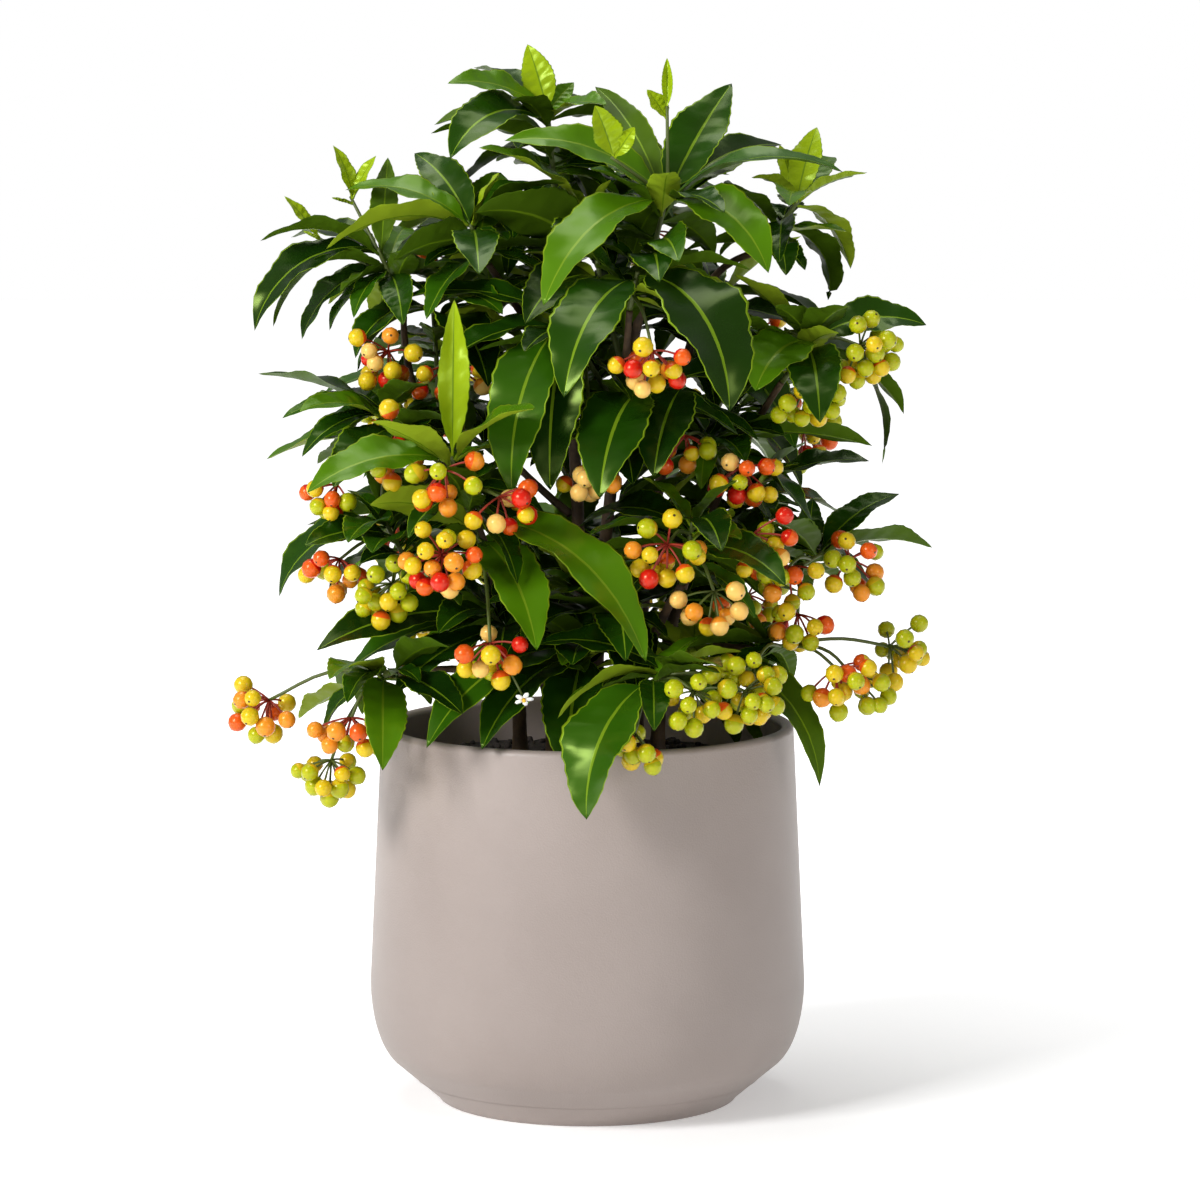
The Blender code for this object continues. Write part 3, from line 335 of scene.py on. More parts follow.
STEMS = (
    Stem("middle_stem", 307, 5, 308, 34, 318, 3.4),
    Stem("front_left_stem", 235, 24, 234, 69, 226, 3.0),
    Stem("front_right_stem", 315, 25, 304, 65, 212, 3.0),
    Stem("left_stem", 176, 27, 187, 62, 268, 3.2),
    Stem("right_stem", 358, 28, 354, 62, 262, 3.2),
    Stem("back_stem", 95, 22, 127, 20, 352, 3.4),
    Stem("back_right_stem", 45, 28, 21, 49, 318, 3.2),
)

BOUGHS = (
    Bough("front_upper_bough", "middle_stem", 0.70, 288, 53, 318, -6),
    Bough("upper_left_bough", "back_stem", 0.72, 200, 41, 334, -4),
    Bough("left_top_bough", "left_stem", 1.0, 188, 73, 318, 0),
    Bough("left_front_bough", "left_stem", 0.75, 203, 76, 262, -4),
    Bough("left_low_bough", "left_stem", 0.40, 210, 76, 212, -3),
    Bough("right_top_bough", "back_right_stem", 1.0, 7, 67, 338, -2),
    Bough("right_mid_bough", "right_stem", 1.0, 348, 78, 288, -2),
    Bough("right_out_bough", "right_stem", 0.60, 346, 83, 215, 3),
    Bough("right_low_bough", "right_stem", 0.35, 334, 78, 184, 3),
    Bough("front_low_bough", "front_right_stem", 0.30, 295, 80, 181, 5),
    Bough("left_rim_bough", "front_left_stem", 0.35, 216, 82, 178, 5),
    Bough("back_left_bough", "back_stem", 0.45, 132, 60, 262, -4),
    Bough("back_low_bough", "back_stem", 0.25, 98, 57, 200, -2),
    Bough("back_out_bough", "back_right_stem", 0.50, 43, 71, 250, -4),
    Bough("back_top_bough", "back_stem", 0.75, 79, 41, 330, -4),
)

SHOOTS = (
    shoot("top_middle_foliage", "middle_stem", 1.0, 340, 78, 4, 45, leaves=4, size=50, shown=(
        blade(185, 50, 60, 70, 19, 0.95, roll=-40, tone="bright"),
        blade(225, 5, 70, 82, 26, roll=-15, tone="bright"),
        blade(45, 58, 15, 58, 24, 0.97, roll=25),
        blade(345, 45, 70, 76, 17, 0.92, roll=15),
        blade(320, 12, 80, 62, 24, 0.97, roll=25, tone="bright"),
        blade(45, 45, 50, 74, 20, 0.85, roll=30),
        blade(120, 60, 40, 72, 14, 0.9, roll=-30, tone="olive"),
        blade(125, 50, 40, 60, 24, roll=-30),
    ), twigs=(
        twig(212, 32, 0, 30, (
            blade(190, 75, 10, 22, 14, 0.95, roll=-70, tone="young"),
            blade(20, 60, 10, 15, 8, roll=60, tone="young"),
        ), 0.97),
        twig(100, 90, 5, 34, (
            blade(90, 80, 10, 21, 7, fold=50, tone="young"),
            blade(170, 70, 10, 14, 9, 0.85, roll=-40, tone="young"),
        )),
    )),
    shoot("front_upper_foliage", "front_upper_bough", 1.0, 300, 68, 0, 16, leaves=1, size=50, shown=(
        blade(310, 5, 95, 82, 37, 0.9, roll=10),
        blade(240, 0, 75, 74, 29, 0.8, roll=-10),
    ), fruit=(
        bunch(280, -5, 40, 46, 9, 0.4, "ripe"),
    )),
    shoot("top_left_foliage", "back_stem", 1.0, 240, 80, 0, 43, leaves=4, size=55, shown=(
        blade(145, 75, 10, 29, 14, roll=-60, tone="young"),
        blade(210, 40, 50, 48, 17, roll=-35, tone="bright"),
        blade(226, 32, 90, 62, 24, 0.85, roll=-25),
        blade(180, 35, 60, 48, 18, 0.75, roll=-20, tone="olive"),
        blade(315, 35, 50, 34, 15, 0.9, roll=20, tone="bright"),
        blade(45, 50, 20, 19, 9, roll=40, tone="bright"),
    )),
    shoot("top_small_foliage", "middle_stem", 0.86, 143, 68, -15, 66, leaves=5, size=58, shown=(
        blade(210, 55, 50, 60, 18, 0.9, roll=-20, tone="bright"),
        blade(215, 50, 60, 64, 27, 0.65, roll=45, tone="olive"),
        blade(210, 50, 10, 14, 6, fold=40, tone="young"),
        blade(330, 60, 10, 16, 6, fold=40, tone="young"),
    )),
    shoot("upper_left_foliage", "upper_left_bough", 1.0, 220, 60, 0, 18, leaves=2, size=55, shown=(
        blade(320, 65, 20, 26, 12, roll=40, tone="young"),
        blade(203, 25, 65, 64, 17, 0.95, roll=30, tone="bright"),
        blade(160, 45, 60, 58, 18, 0.9, roll=-20, tone="bright"),
        blade(130, 55, 40, 52, 18, 0.85, roll=-30),
        blade(228, 10, 35, 48, 20, 0.6, roll=50, tone="olive"),
    )),
    shoot("left_arch_foliage", "left_top_bough", 1.0, 180, 65, 0, 24, leaves=2, size=50, shown=(
        blade(200, 15, 92, 66, 20, roll=-25),
        blade(160, 10, 85, 62, 16, 0.92, roll=-10),
        blade(232, 5, 40, 30, 13, 0.6, roll=20, tone="olive"),
        blade(85, 65, 10, 44, 12, 0.85, tone="olive"),
    ), twigs=(
        twig(140, 55, 0, 32, (
            blade(165, 85, 30, 23, 8, roll=-30, tone="young"),
            blade(20, 75, 20, 20, 7, roll=30, tone="young"),
            blade(190, 20, 10, 9, 4, 0.9, tone="young"),
        ), 0.7),
        twig(170, 28, 0, 34, (
            blade(180, 55, 10, 22, 7, roll=-40, tone="young"),
            blade(200, 30, 10, 8, 4, tone="young"),
        ), 0.45),
    )),
    shoot("right_top_foliage", "right_top_bough", 1.0, 340, 45, -10, 27, leaves=0, shown=(
        blade(60, 70, 20, 34, 14, roll=15, tone="young"),
        blade(340, 45, 45, 32, 9, roll=-10, tone="bright"),
        blade(120, 75, 10, 26, 11, tone="young"),
        blade(205, 70, 80, 24, 9, 0.9, roll=20, tone="bright"),
        blade(285, 0, 80, 26, 14, 0.35),
        blade(15, 0, 110, 42, 18, 0.5, roll=-20),
        blade(80, 40, 60, 24, 15, 0.6),
        blade(320, 5, 60, 24, 14, 0.15),
    )),
    shoot("right_mid_foliage", "right_mid_bough", 1.0, 325, 50, 0, 22, leaves=1, size=50, shown=(
        blade(5, 38, 60, 48, 19, roll=45),
        blade(235, 12, 70, 46, 28, roll=-15, tone="bright"),
        blade(42, 8, 115, 76, 17, 0.85, roll=40),
        blade(110, 45, 40, 32, 10, 0.95, tone="olive"),
        blade(275, 10, 75, 52, 23, 0.8, roll=10),
    ), fruit=(
        bunch(335, 30, 60, 22, 11, 0.9, "lime"),
        bunch(285, 20, 60, 25, 9, 0.2, "lime"),
    )),
    shoot("right_inner_foliage", "right_stem", 0.90, 240, 55, 10, 20, leaves=4, size=55, shown=(
        blade(18, 15, 35, 66, 22, roll=-30, tone="olive"),
        blade(340, 30, 50, 34, 20, roll=20),
        blade(295, 25, 60, 34, 18, 0.9),
    ), fruit=(
        bunch(285, 25, 60, 39, 8, 0.6, "ripe"),
        bunch(260, 30, 40, 30, 4, 0.85, "turning"),
    )),
    shoot("hanging_left_foliage", "middle_stem", 0.78, 228, 50, 0, 48, leaves=4, size=55, shown=(
        blade(240, -18, 80, 82, 27, roll=-10),
        blade(258, -25, 75, 74, 27, 0.9, roll=5),
        blade(172, 32, 50, 68, 17, roll=-20),
        blade(200, 15, 60, 58, 22, 0.85, roll=-10),
    ), fruit=(
        bunch(275, -25, 60, 52, 5, 0.6, "peach"),
    )),
    shoot("hanging_right_foliage", "middle_stem", 0.66, 292, 50, 0, 42, leaves=4, size=55, shown=(
        blade(250, 0, 75, 66, 30, roll=-5),
        blade(345, 40, 60, 52, 24, 0.75, roll=20),
    ), twigs=(
        twig(345, 20, 0, 20, (blade(252, -5, 60, 52, 25),), 0.8),
    )),
    shoot("front_left_foliage", "front_left_stem", 1.0, 236, 62, 0, 42, leaves=4, size=50, shown=(
        blade(85, 88, 10, 62, 14, roll=15, fold=25, tone="young"),
        blade(203, 18, 55, 62, 22, roll=-30, tone="bright"),
        blade(318, 50, 45, 50, 20, 0.95, roll=20, tone="bright"),
        blade(322, 8, 75, 104, 29, 0.3, roll=12, tone="bright"),
        blade(298, -5, 65, 66, 25, 0.12, roll=5, tone="bright"),
        blade(208, 40, 50, 48, 18, 0.2, roll=55, tone="bright"),
        blade(225, 12, 55, 44, 25, 0.08, roll=30, tone="olive"),
    ), fruit=(
        bunch(250, 15, 45, 36, 12, 0.16, "ripe"),
        bunch(278, -15, 60, 50, 8, 0.05, "ripe"),
        bunch(190, 50, 40, 28, 5, 0.75, "turning"),
        bunch(255, 55, 60, 28, 5, 0.6, "turning"),
        bunch(300, 40, 60, 28, 6, 0.5, "ripe"),
    )),
    shoot("left_mid_foliage", "left_front_bough", 1.0, 180, 58, 0, 18, leaves=5, size=50, shown=(
        blade(195, 28, 60, 42, 12, roll=-25),
        blade(160, 10, 60, 38, 12, roll=-20),
        blade(214, 8, 60, 42, 12, 0.92, roll=-20),
        blade(130, 40, 50, 34, 11, 0.85),
    ), fruit=(
        bunch(262, -25, 50, 36, 7, 0.6, "ripe"),
        bunch(222, -25, 45, 36, 4, 0.9, "turning"),
    )),
    shoot("left_dark_foliage", "left_stem", 0.98, 250, 80, 0, 54, leaves=6, size=50, shown=(
        blade(205, 15, 90, 42, 22, roll=-10),
        blade(165, 15, 80, 42, 14),
        blade(300, 10, 80, 56, 24, 0.9),
    ), fruit=(
        bunch(225, 25, 40, 26, 8, 0.6, "ripe"),
        bunch(285, 25, 40, 24, 6, 0.5, "ripe"),
    )),
    shoot("left_low_foliage", "left_low_bough", 1.0, 190, 62, 0, 26, leaves=4, size=50, shown=(
        blade(175, 10, 85, 56, 23, 0.9, roll=-30),
        blade(212, 20, 45, 40, 17, 0.75, roll=-30),
        blade(250, 20, 50, 40, 18, 0.95),
    ), fruit=(
        bunch(203, 5, 50, 24, 9, 0.75, "ripe"),
        bunch(262, 10, 55, 27, 7, 0.4, "lime"),
    )),
    shoot("bottom_left_foliage", "front_left_stem", 0.50, 210, 45, 0, 22, leaves=2, size=52, shown=(
        blade(205, 12, 40, 76, 24, roll=-30),
        blade(192, 5, 45, 64, 22, 0.8, roll=-15),
        blade(245, 22, 50, 48, 18, 0.95, roll=-15),
        blade(212, -5, 40, 56, 20, 0.6, roll=-20),
    )),
    shoot("bottom_front_foliage", "front_left_stem", 0.30, 330, 50, 0, 24, leaves=2, size=52, shown=(
        blade(222, 15, 70, 94, 26, roll=-15),
        blade(232, 0, 60, 74, 25, 0.85, roll=-5),
        blade(262, 5, 75, 64, 26, 0.8),
        blade(262, 30, 60, 46, 24, roll=5),
    )),
    shoot("left_fruit", "left_rim_bough", 1.0, 195, 10, 70, 26, leaves=0, fruit=(
        bunch(176, 12, 50, 52, 10, 0.3, "turning"),
        bunch(228, -20, 55, 20, 9, 0.6, "turning"),
        bunch(192, -55, 20, 27, 11, 0.97, "lime"),
    )),
    shoot("front_right_foliage", "front_right_stem", 1.0, 300, 72, 0, 26, leaves=5, size=56, fruit=(
        bunch(250, 25, 55, 28, 9, 0.8, "ripe"),
        bunch(292, 10, 70, 30, 6, 0.5, "peach"),
        bunch(350, 20, 50, 24, 6, 0.9, "ripe"),
    )),
    shoot("rim_front_foliage", "front_low_bough", 1.0, 215, -10, 10, 12, leaves=0, shown=(
        blade(228, -10, 85, 68, 32, roll=-5),
    ), fruit=(
        bunch(245, -10, 60, 30, 5, 0.7, "lime"),
        bunch(312, 15, 50, 20, 8, 0.7, "lime"),
        bunch(345, 15, 50, 32, 8, 0.4, "lime"),
    )),
    shoot("right_low_foliage", "right_low_bough", 1.0, 330, 20, 0, 14, leaves=1, size=45, fruit=(
        bunch(18, 8, 25, 40, 7, 0.9, "lime"),
        bunch(325, 5, 50, 24, 7, 0.7, "turning"),
        bunch(342, -10, 60, 28, 9, 0.95, "lime"),
        bunch(250, 20, 50, 38, 9, 0.5, "lime"),
    )),
    shoot("right_fruit", "right_out_bough", 1.0, 335, 30, 0, 14, leaves=1, size=45, fruit=(
        bunch(330, 5, 25, 13, 8, 0.9, "turning"),
        bunch(245, 20, 45, 24, 7, 0.6, "turning"),
        bunch(262, -15, 55, 27, 7, 0.3, "turning"),
    )),
    shoot("right_rim_foliage", "right_stem", 0.20, 320, 45, 0, 24, leaves=2, size=48, shown=(
        blade(325, 12, 100, 82, 18, roll=20, tone="olive"),
        blade(330, 40, 60, 40, 16, 0.85, roll=10),
    )),
    shoot("middle_front_foliage", "front_right_stem", 0.60, 200, 40, 0, 30, leaves=9, size=60),
    hidden_shoot("back_top_foliage", "back_top_bough", 1.0, 60, 75, 0, 32, leaves=9, fruit=1),
    hidden_shoot("back_upper_left_foliage", "back_stem", 0.85, 160, 45, -20, 40, leaves=9, fruit=1),
    hidden_shoot("back_left_foliage", "back_left_bough", 1.0, 150, 65, 0, 30, leaves=9, fruit=2),
    hidden_shoot("left_back_foliage", "left_stem", 0.60, 140, 40, -10, 38, leaves=9, fruit=1),
    hidden_shoot("back_left_low_foliage", "left_stem", 0.35, 110, 35, -10, 36, leaves=9, fruit=2),
    hidden_shoot("back_low_foliage", "back_low_bough", 1.0, 100, 60, 0, 24, leaves=9, fruit=2),
    hidden_shoot("back_middle_foliage", "back_stem", 0.60, 85, 40, -15, 42, leaves=9, fruit=2),
    hidden_shoot("back_right_foliage", "back_out_bough", 1.0, 50, 65, 0, 34, leaves=9, fruit=2),
    hidden_shoot("back_upper_right_foliage", "back_right_stem", 0.85, 50, 50, -15, 34, leaves=9, fruit=1),
    hidden_shoot("right_back_foliage", "right_stem", 0.65, 40, 35, -10, 38, leaves=9, fruit=1),
    hidden_shoot("back_right_low_foliage", "back_right_stem", 0.30, 50, 35, -10, 36, leaves=9, fruit=2),
)


def toward(heading, rise):
    """The unit vector of a heading and a rise, in degrees."""
    turn = math.radians(heading)
    tilt = math.radians(rise)
    return Vector((math.cos(turn) * math.cos(tilt), math.sin(turn) * math.cos(tilt), math.sin(tilt)))


def place(heading, reach, height):
    """A point at a reach from the pot's axis and a height above its foot."""
    level = toward(heading, 0) * reach
    return Vector((level.x, level.y, height))


def sagging_path(start, heading, rise, sag, length, steps):
    """Points of a stalk that sets out at a rise and bends down by its sag on the way."""
    points = [start.copy()]
    for index in range(steps):
        angle = rise - sag * (index + 0.5) / steps
        points.append(points[-1] + toward(heading, angle) * (length / steps))
    return points


def bowed_path(start, bend, end, steps):
    """Points from start to end that set out towards the bend."""
    points = []
    for index in range(steps + 1):
        t = index / steps
        points.append(start * (1 - t) ** 2 + bend * (2 * t * (1 - t)) + end * t ** 2)
    return points


def along(path, at):
    """The point and the direction at a fraction of a path's length."""
    spans = [(b - a).length for a, b in zip(path, path[1:])]
    left = at * sum(spans)
    for a, b, span in zip(path, path[1:], spans):
        if left <= span:
            return a + (b - a) * (left / span), (b - a).normalized()
        left -= span
    return path[-1], (path[-1] - path[-2]).normalized()


def radius_at(stalk, at):
    return stalk.foot_radius + (stalk.tip_radius - stalk.foot_radius) * at


def seat(parent, at, aim, radius):
    """Where a limb starts: just clear of its parent's tip, or of its side that faces the aim."""
    point, axis = along(parent.path, at)
    lean = abs(aim.dot(axis))
    if at >= 1:
        return point + axis * (GAP + radius * math.sqrt(max(0.0, 1 - lean * lean)))
    side = (aim - axis * aim.dot(axis)).normalized()
    return point + side * (radius_at(parent, at) + radius * lean + GAP)


def grow_stems():
    """Each stem leaves the soil straight up and leans out to its tip."""
    grown = {}
    for stem in STEMS:
        foot = place(stem.foot_heading, stem.foot_reach, SOIL_HEIGHT + GAP)
        tip = place(stem.heading, stem.reach, stem.height)
        collar = foot + Vector((0, 0, FLARE_HEIGHT))
        bend = collar + Vector((0, 0, STEM_STRAIGHT * (tip.z - foot.z)))
        path = [foot] + bowed_path(collar, bend, tip, 7)
        grown[stem.name] = Stalk(path, stem.radius, stem.radius * STEM_TAPER)
    return grown


def grow_boughs(limbs):
    for bough in BOUGHS:
        parent = limbs[bough.parent]
        tip = place(bough.heading, bough.reach, bough.height)
        base, axis = along(parent.path, bough.at)
        if bough.at >= 1:
            bend = base + axis * (tip - base).length / 2
        else:
            bend = (base + tip) / 2 + Vector((0, 0, bough.bow))
        start = seat(parent, bough.at, (bend - base).normalized(), BOUGH_RADIUS)
        path = bowed_path(start, bend, tip, 4)
        limbs[bough.name] = Stalk(path, BOUGH_RADIUS, BOUGH_RADIUS * BOUGH_TAPER)


def shoot_stalk(spec, limbs):
    """The stem of a mass: it starts clear of its bough's tip or of its stem's side."""
    start = seat(limbs[spec.parent], spec.at, toward(spec.heading, spec.rise), TWIG_RADIUS)
    path = sagging_path(start, spec.heading, spec.rise, spec.sag, spec.length, 3)
    return Stalk(path, TWIG_RADIUS, TWIG_RADIUS * TWIG_TAPER)


def ring_faces(rings, sides):
    """The faces between rings of corners that follow each other."""
    faces = []
    for ring in range(rings - 1):
        for side in range(sides):
            a = ring * sides + side
            b = ring * sides + (side + 1) % sides
            faces.append((a, b, b + sides, a + sides))
    return faces


def tube_shape(path, foot_radius, tip_radius=None, sides=6):
    """Corners and faces of a plain tube, for telling what it touches."""
    corners = []
    for index, point in enumerate(path):
        radius = foot_radius
        if tip_radius is not None:
            radius += (tip_radius - foot_radius) * index / (len(path) - 1)
        before = path[max(index - 1, 0)]
        after = path[min(index + 1, len(path) - 1)]
        turn = (after - before).to_track_quat("Z", "Y")
        for side in range(sides):
            angle = math.tau * side / sides
            corners.append(point + turn @ Vector((math.cos(angle), math.sin(angle), 0)) * radius)
    return corners, ring_faces(len(path), sides)


def leaf_frame(leaf, path, u):
    """A point of a leaf's midrib, with the directions across and up from its blade."""
    point, tangent = along(path, u)
    across = tangent.cross(Vector((0, 0, 1)))
    if across.length < NEARLY_UPRIGHT:
        across = toward(leaf.heading - 90, 0)
    across = Quaternion(tangent, math.radians(leaf.roll)) @ across.normalized()
    return point, across, across.cross(tangent)


def leaf_shape(leaf, thickness, start=0.0, spread=0.0):
    """Corners and faces of a leaf: a thin lens on an arching midrib, with its edges folded up."""
    path = sagging_path(leaf.root, leaf.heading, leaf.rise, leaf.sag, leaf.length, LEAF_STEPS)

    def corner(u, side, lift):
        point, across, upward = leaf_frame(leaf, path, u)
        fold = math.radians(leaf.fold)
        half = side * (leaf.width * 0.5 + spread)
        return point + across * half * math.cos(fold) + upward * (abs(half) * math.sin(fold) + lift)

    corners = [
        corner(start, 0, LEAF_STALK_THICKNESS / 2),
        corner(start, 0, -LEAF_STALK_THICKNESS / 2),
        corner(LEAF_WIDEST, -1, 0),
        corner(1.0, 0, 0),
        corner(LEAF_WIDEST, 1, 0),
        corner(0.5, 0, thickness / 2),
        corner(0.5, 0, -thickness / 2),
    ]
    faces = [(5, 2, 0), (5, 3, 2), (5, 4, 3), (5, 0, 4)]
    faces += [(6, 1, 2), (6, 2, 3), (6, 3, 4), (6, 4, 1)]
    faces += [(0, 2, 1), (0, 1, 4)]
    return corners, faces


def ball_shape(centre, radius):
    """Corners and faces of a rough ball, for telling what it touches."""
    sides = 6
    corners = [centre + toward(60 * side, -35) * radius for side in range(sides)]
    corners += [centre + toward(60 * side + 30, 35) * radius for side in range(sides)]
    corners += [centre - Vector((0, 0, radius)), centre + Vector((0, 0, radius))]
    faces = []
    for side in range(sides):
        after = (side + 1) % sides
        faces += [(side, after, side + sides), (after, after + sides, side + sides)]
        faces += [(after, side, 2 * sides), (side + sides, after + sides, 2 * sides + 1)]
    return corners, faces


class Space:
    """What has grown so far, so that each new piece can keep clear of it."""

    def __init__(self):
        self.pieces = []

    @staticmethod
    def box(corners):
        low = [min(corner[axis] for corner in corners) for axis in range(3)]
        high = [max(corner[axis] for corner in corners) for axis in range(3)]
        return low, high

    def add(self, owner, whole, outer):
        """Keeps a piece: the whole of it, and the part that its own mass must keep clear of."""
        box = self.box(whole[0])
        self.pieces.append((owner, BVHTree.FromPolygons(*whole), BVHTree.FromPolygons(*outer), box))

    def clear(self, owner, whole, outer):
        """Whether no kept piece is in the way; of its own mass only the outer parts count."""
        low, high = self.box(whole[0])
        trees = {}
        for other, other_whole, other_outer, (other_low, other_high) in self.pieces:
            if any(low[a] > other_high[a] or high[a] < other_low[a] for a in range(3)):
                continue
            own = other == owner
            if own not in trees:
                trees[own] = BVHTree.FromPolygons(*(outer if own else whole))
            if trees[own].overlap(other_outer if own else other_whole):
                return False
        return True


def leaf_fits(space, owner, leaf):
    thick = leaf.length * LEAF_THICKNESS + 2 * CLEARANCE
    whole = leaf_shape(leaf, thick, 0.0, CLEARANCE)
    outer = leaf_shape(leaf, thick, FREE_FROM, CLEARANCE)
    return space.clear(owner, whole, outer)


def grow_leaf(mass, space, leaf):
    """Adds a leaf to its mass where there is room for it, and says whether there was."""
    if not leaf_fits(space, mass.spec.name, leaf):
        return False
    mass.leaves.append(leaf)
    thick = leaf.length * LEAF_THICKNESS
    space.add(mass.spec.name, leaf_shape(leaf, thick), leaf_shape(leaf, thick, FREE_FROM))
    return True


def keep_stalk(space, owner, stalk, free_from=0.0):
    """Keeps a stalk; its own mass keeps clear of it from the fraction free_from on."""
    rest = [along(stalk.path, free_from)[0]] + stalk.path[1:]
    radii = stalk.foot_radius, stalk.tip_radius
    space.add(owner, tube_shape(stalk.path, *radii), tube_shape(rest, *radii))


class Mass:
    """One mass of the crown: its stem, side twigs, leaves and fruit."""

    def __init__(self, spec, stalk):
        self.spec = spec
        self.stalks = [stalk]
        self.leaves = []
        self.berries = []
        self.hubs = []
        self.twigs = []

    @property
    def stem(self):
        return self.stalks[0]


def grow_twigs(mass, space):
    for spec in mass.spec.twigs:
        start = along(mass.stem.path, spec.at)[0]
        path = sagging_path(start, spec.heading, spec.rise, spec.sag, spec.length, 2)
        stalk = Stalk(path, STALK_RADIUS, STALK_RADIUS * SIDE_TWIG_TAPER)
        mass.stalks.append(stalk)
        mass.twigs.append((stalk, spec))
        keep_stalk(space, mass.spec.name, stalk, TWIG_FREE_FROM)


def grow_shown_leaves(mass, space):
    """The leaves that are placed one by one, on the stem and on its side twigs."""
    holders = [(mass.stem, mass.spec.shown)]
    holders += [(stalk, spec.shown) for stalk, spec in mass.twigs]
    for stalk, shown in holders:
        for item in shown:
            root = along(stalk.path, min(item.at, DEEPEST_ROOT))[0]
            for turn, lift in NUDGES:
                leaf = Leaf(root, item.heading + turn, item.rise + lift, item.sag, item.length,
                            item.width, item.roll, item.fold, item.tone)
                if grow_leaf(mass, space, leaf):
                    break


def grow_bunch(mass, spec, space, chance):
    """A stalk that ends in a hub, with berries on thin stalks that fan out and hang from it."""
    name = mass.spec.name
    start = along(mass.stem.path, spec.at)[0]
    for turn, lift in NUDGES:
        path = sagging_path(start, spec.heading + 2 * turn, spec.rise + lift, spec.sag, spec.length, 2)
        whole = tube_shape(path, STALK_RADIUS + CLEARANCE)
        outer = tube_shape([along(path, FREE_FROM)[0]] + path[1:], STALK_RADIUS + CLEARANCE)
        if space.clear(name, whole, outer):
            break
    else:
        return
    stalk = Stalk(path, STALK_RADIUS, STALK_RADIUS * BUNCH_STALK_TAPER)
    mass.stalks.append(stalk)
    keep_stalk(space, name, stalk, FREE_FROM)
    hub, axis = along(path, 1.0)
    mass.hubs.append(hub)
    across = axis.orthogonal().normalized()
    placed = 0
    for index in range(spec.berries * BERRY_TRIES):
        if placed == spec.berries:
            break
        turn = math.radians(GOLDEN_TURN * index) + chance.uniform(-BUNCH_TURN_PLAY, BUNCH_TURN_PLAY)
        outward = math.sqrt((placed + 0.5) / spec.berries)
        spread = math.radians(BUNCH_SPREAD + BUNCH_SPREAD_MORE * outward)
        side = Quaternion(axis, turn) @ across
        aim = axis * math.cos(spread) + side * math.sin(spread) + Vector((0, 0, -BUNCH_DROOP))
        reach = chance.uniform(*BERRY_REACH) + BERRY_RADIUS
        centre = hub + aim.normalized() * reach
        radius = BERRY_RADIUS * chance.uniform(*BERRY_SIZES)
        ball = ball_shape(centre, radius * BERRY_ROOM + CLEARANCE)
        free = hub.lerp(centre, THREAD_FREE_FROM)
        thread = tube_shape([hub, centre], FRUIT_STALK_RADIUS + CLEARANCE, sides=3)
        outer_thread = tube_shape([free, centre], FRUIT_STALK_RADIUS, sides=3)
        if not space.clear(name, ball, ball) or not space.clear(name, thread, outer_thread):
            continue
        mass.berries.append(Berry(hub, centre, radius, spec.tone))
        kept = ball_shape(centre, radius * BERRY_ROOM)
        space.add(name, kept, kept)
        space.add(name, tube_shape([hub, centre], FRUIT_STALK_RADIUS, sides=3), outer_thread)
        placed += 1


def grow_rule_leaves(mass, space, chance):
    """Leaves in a spiral up the stem, the higher ones more upright, each kept clear of the rest."""
    spec = mass.spec
    turn = chance.uniform(0, 360)
    for index in range(spec.leaves):
        at = LOWEST_RULE_LEAF + RULE_LEAF_SPAN * (index + 0.5) / spec.leaves
        smaller = TOP_LEAVES_SMALLER * max(0, at - TOP_LEAVES_FROM) / TOP_LEAVES_SPAN
        size = spec.size * chance.uniform(*RULE_LEAF_SIZES) * (1.0 - smaller)
        root = along(mass.stem.path, at)[0]
        for attempt in range(LEAF_TRIES):
            heading = turn + GOLDEN_TURN * (index + attempt * TRY_TURN)
            rise = chance.uniform(*RULE_LEAF_RISES) - LOW_LEAVES_DROP * (1 - at)
            sag = chance.uniform(*RULE_LEAF_SAGS)
            shorter = 1.0 - RULE_LEAF_SHORTER * attempt
            leaf = Leaf(root, heading % 360, rise, sag, size * shorter,
                        size * shorter * chance.uniform(*LEAF_PROPORTIONS),
                        chance.uniform(*RULE_LEAF_ROLLS), LEAF_FOLD, spec.tone)
            if grow_leaf(mass, space, leaf):
                break


def grow():
    """Limbs and masses, each piece clear of every piece of another limb or mass."""
    limbs = grow_stems()
    grow_boughs(limbs)
    space = Space()
    for name, limb in limbs.items():
        keep_stalk(space, name, limb)
    keep_pot(space)
    masses = [Mass(spec, shoot_stalk(spec, limbs)) for spec in SHOOTS]
    for mass in masses:
        keep_stalk(space, mass.spec.name, mass.stem)
    for mass in masses:
        grow_twigs(mass, space)
    for mass in masses:
        grow_shown_leaves(mass, space)
    for number, mass in enumerate(masses):
        chance = random.Random(SEED + number)
        for spec in mass.spec.fruit:
            grow_bunch(mass, spec, space, chance)
    for number, mass in enumerate(masses):
        grow_rule_leaves(mass, space, random.Random(SEED * 100 + number))
    return limbs, masses, space


def keep_pot(space):
    """The pot's walls and lip and the top of the soil, which the leaves keep clear of."""
    below = POT_HEIGHT - WALL_DEPTH
    inside = POT_LIP_RADIUS - POT_WALL - RIM_ROOM
    top = POT_HEIGHT + RIM_LIFT
    wall = [
        (inside, below), (inside, top), (POT_LIP_RADIUS + RIM_ROOM, top),
        (POT_LIP_RADIUS + WALL_ROOM, POT_HEIGHT - RIM_DEPTH), (pot_outside(below) + WALL_ROOM, below),
    ]
    for profile in (wall, [(1, SOIL_HEIGHT + GAP), (inside, SOIL_HEIGHT + GAP)]):
        corners = []
        for radius, height in profile:
            corners += [place(360 * side / POT_SIDES, radius, height) for side in range(POT_SIDES)]
        shape = corners, ring_faces(len(profile), POT_SIDES)
        space.add("pot", shape, shape)


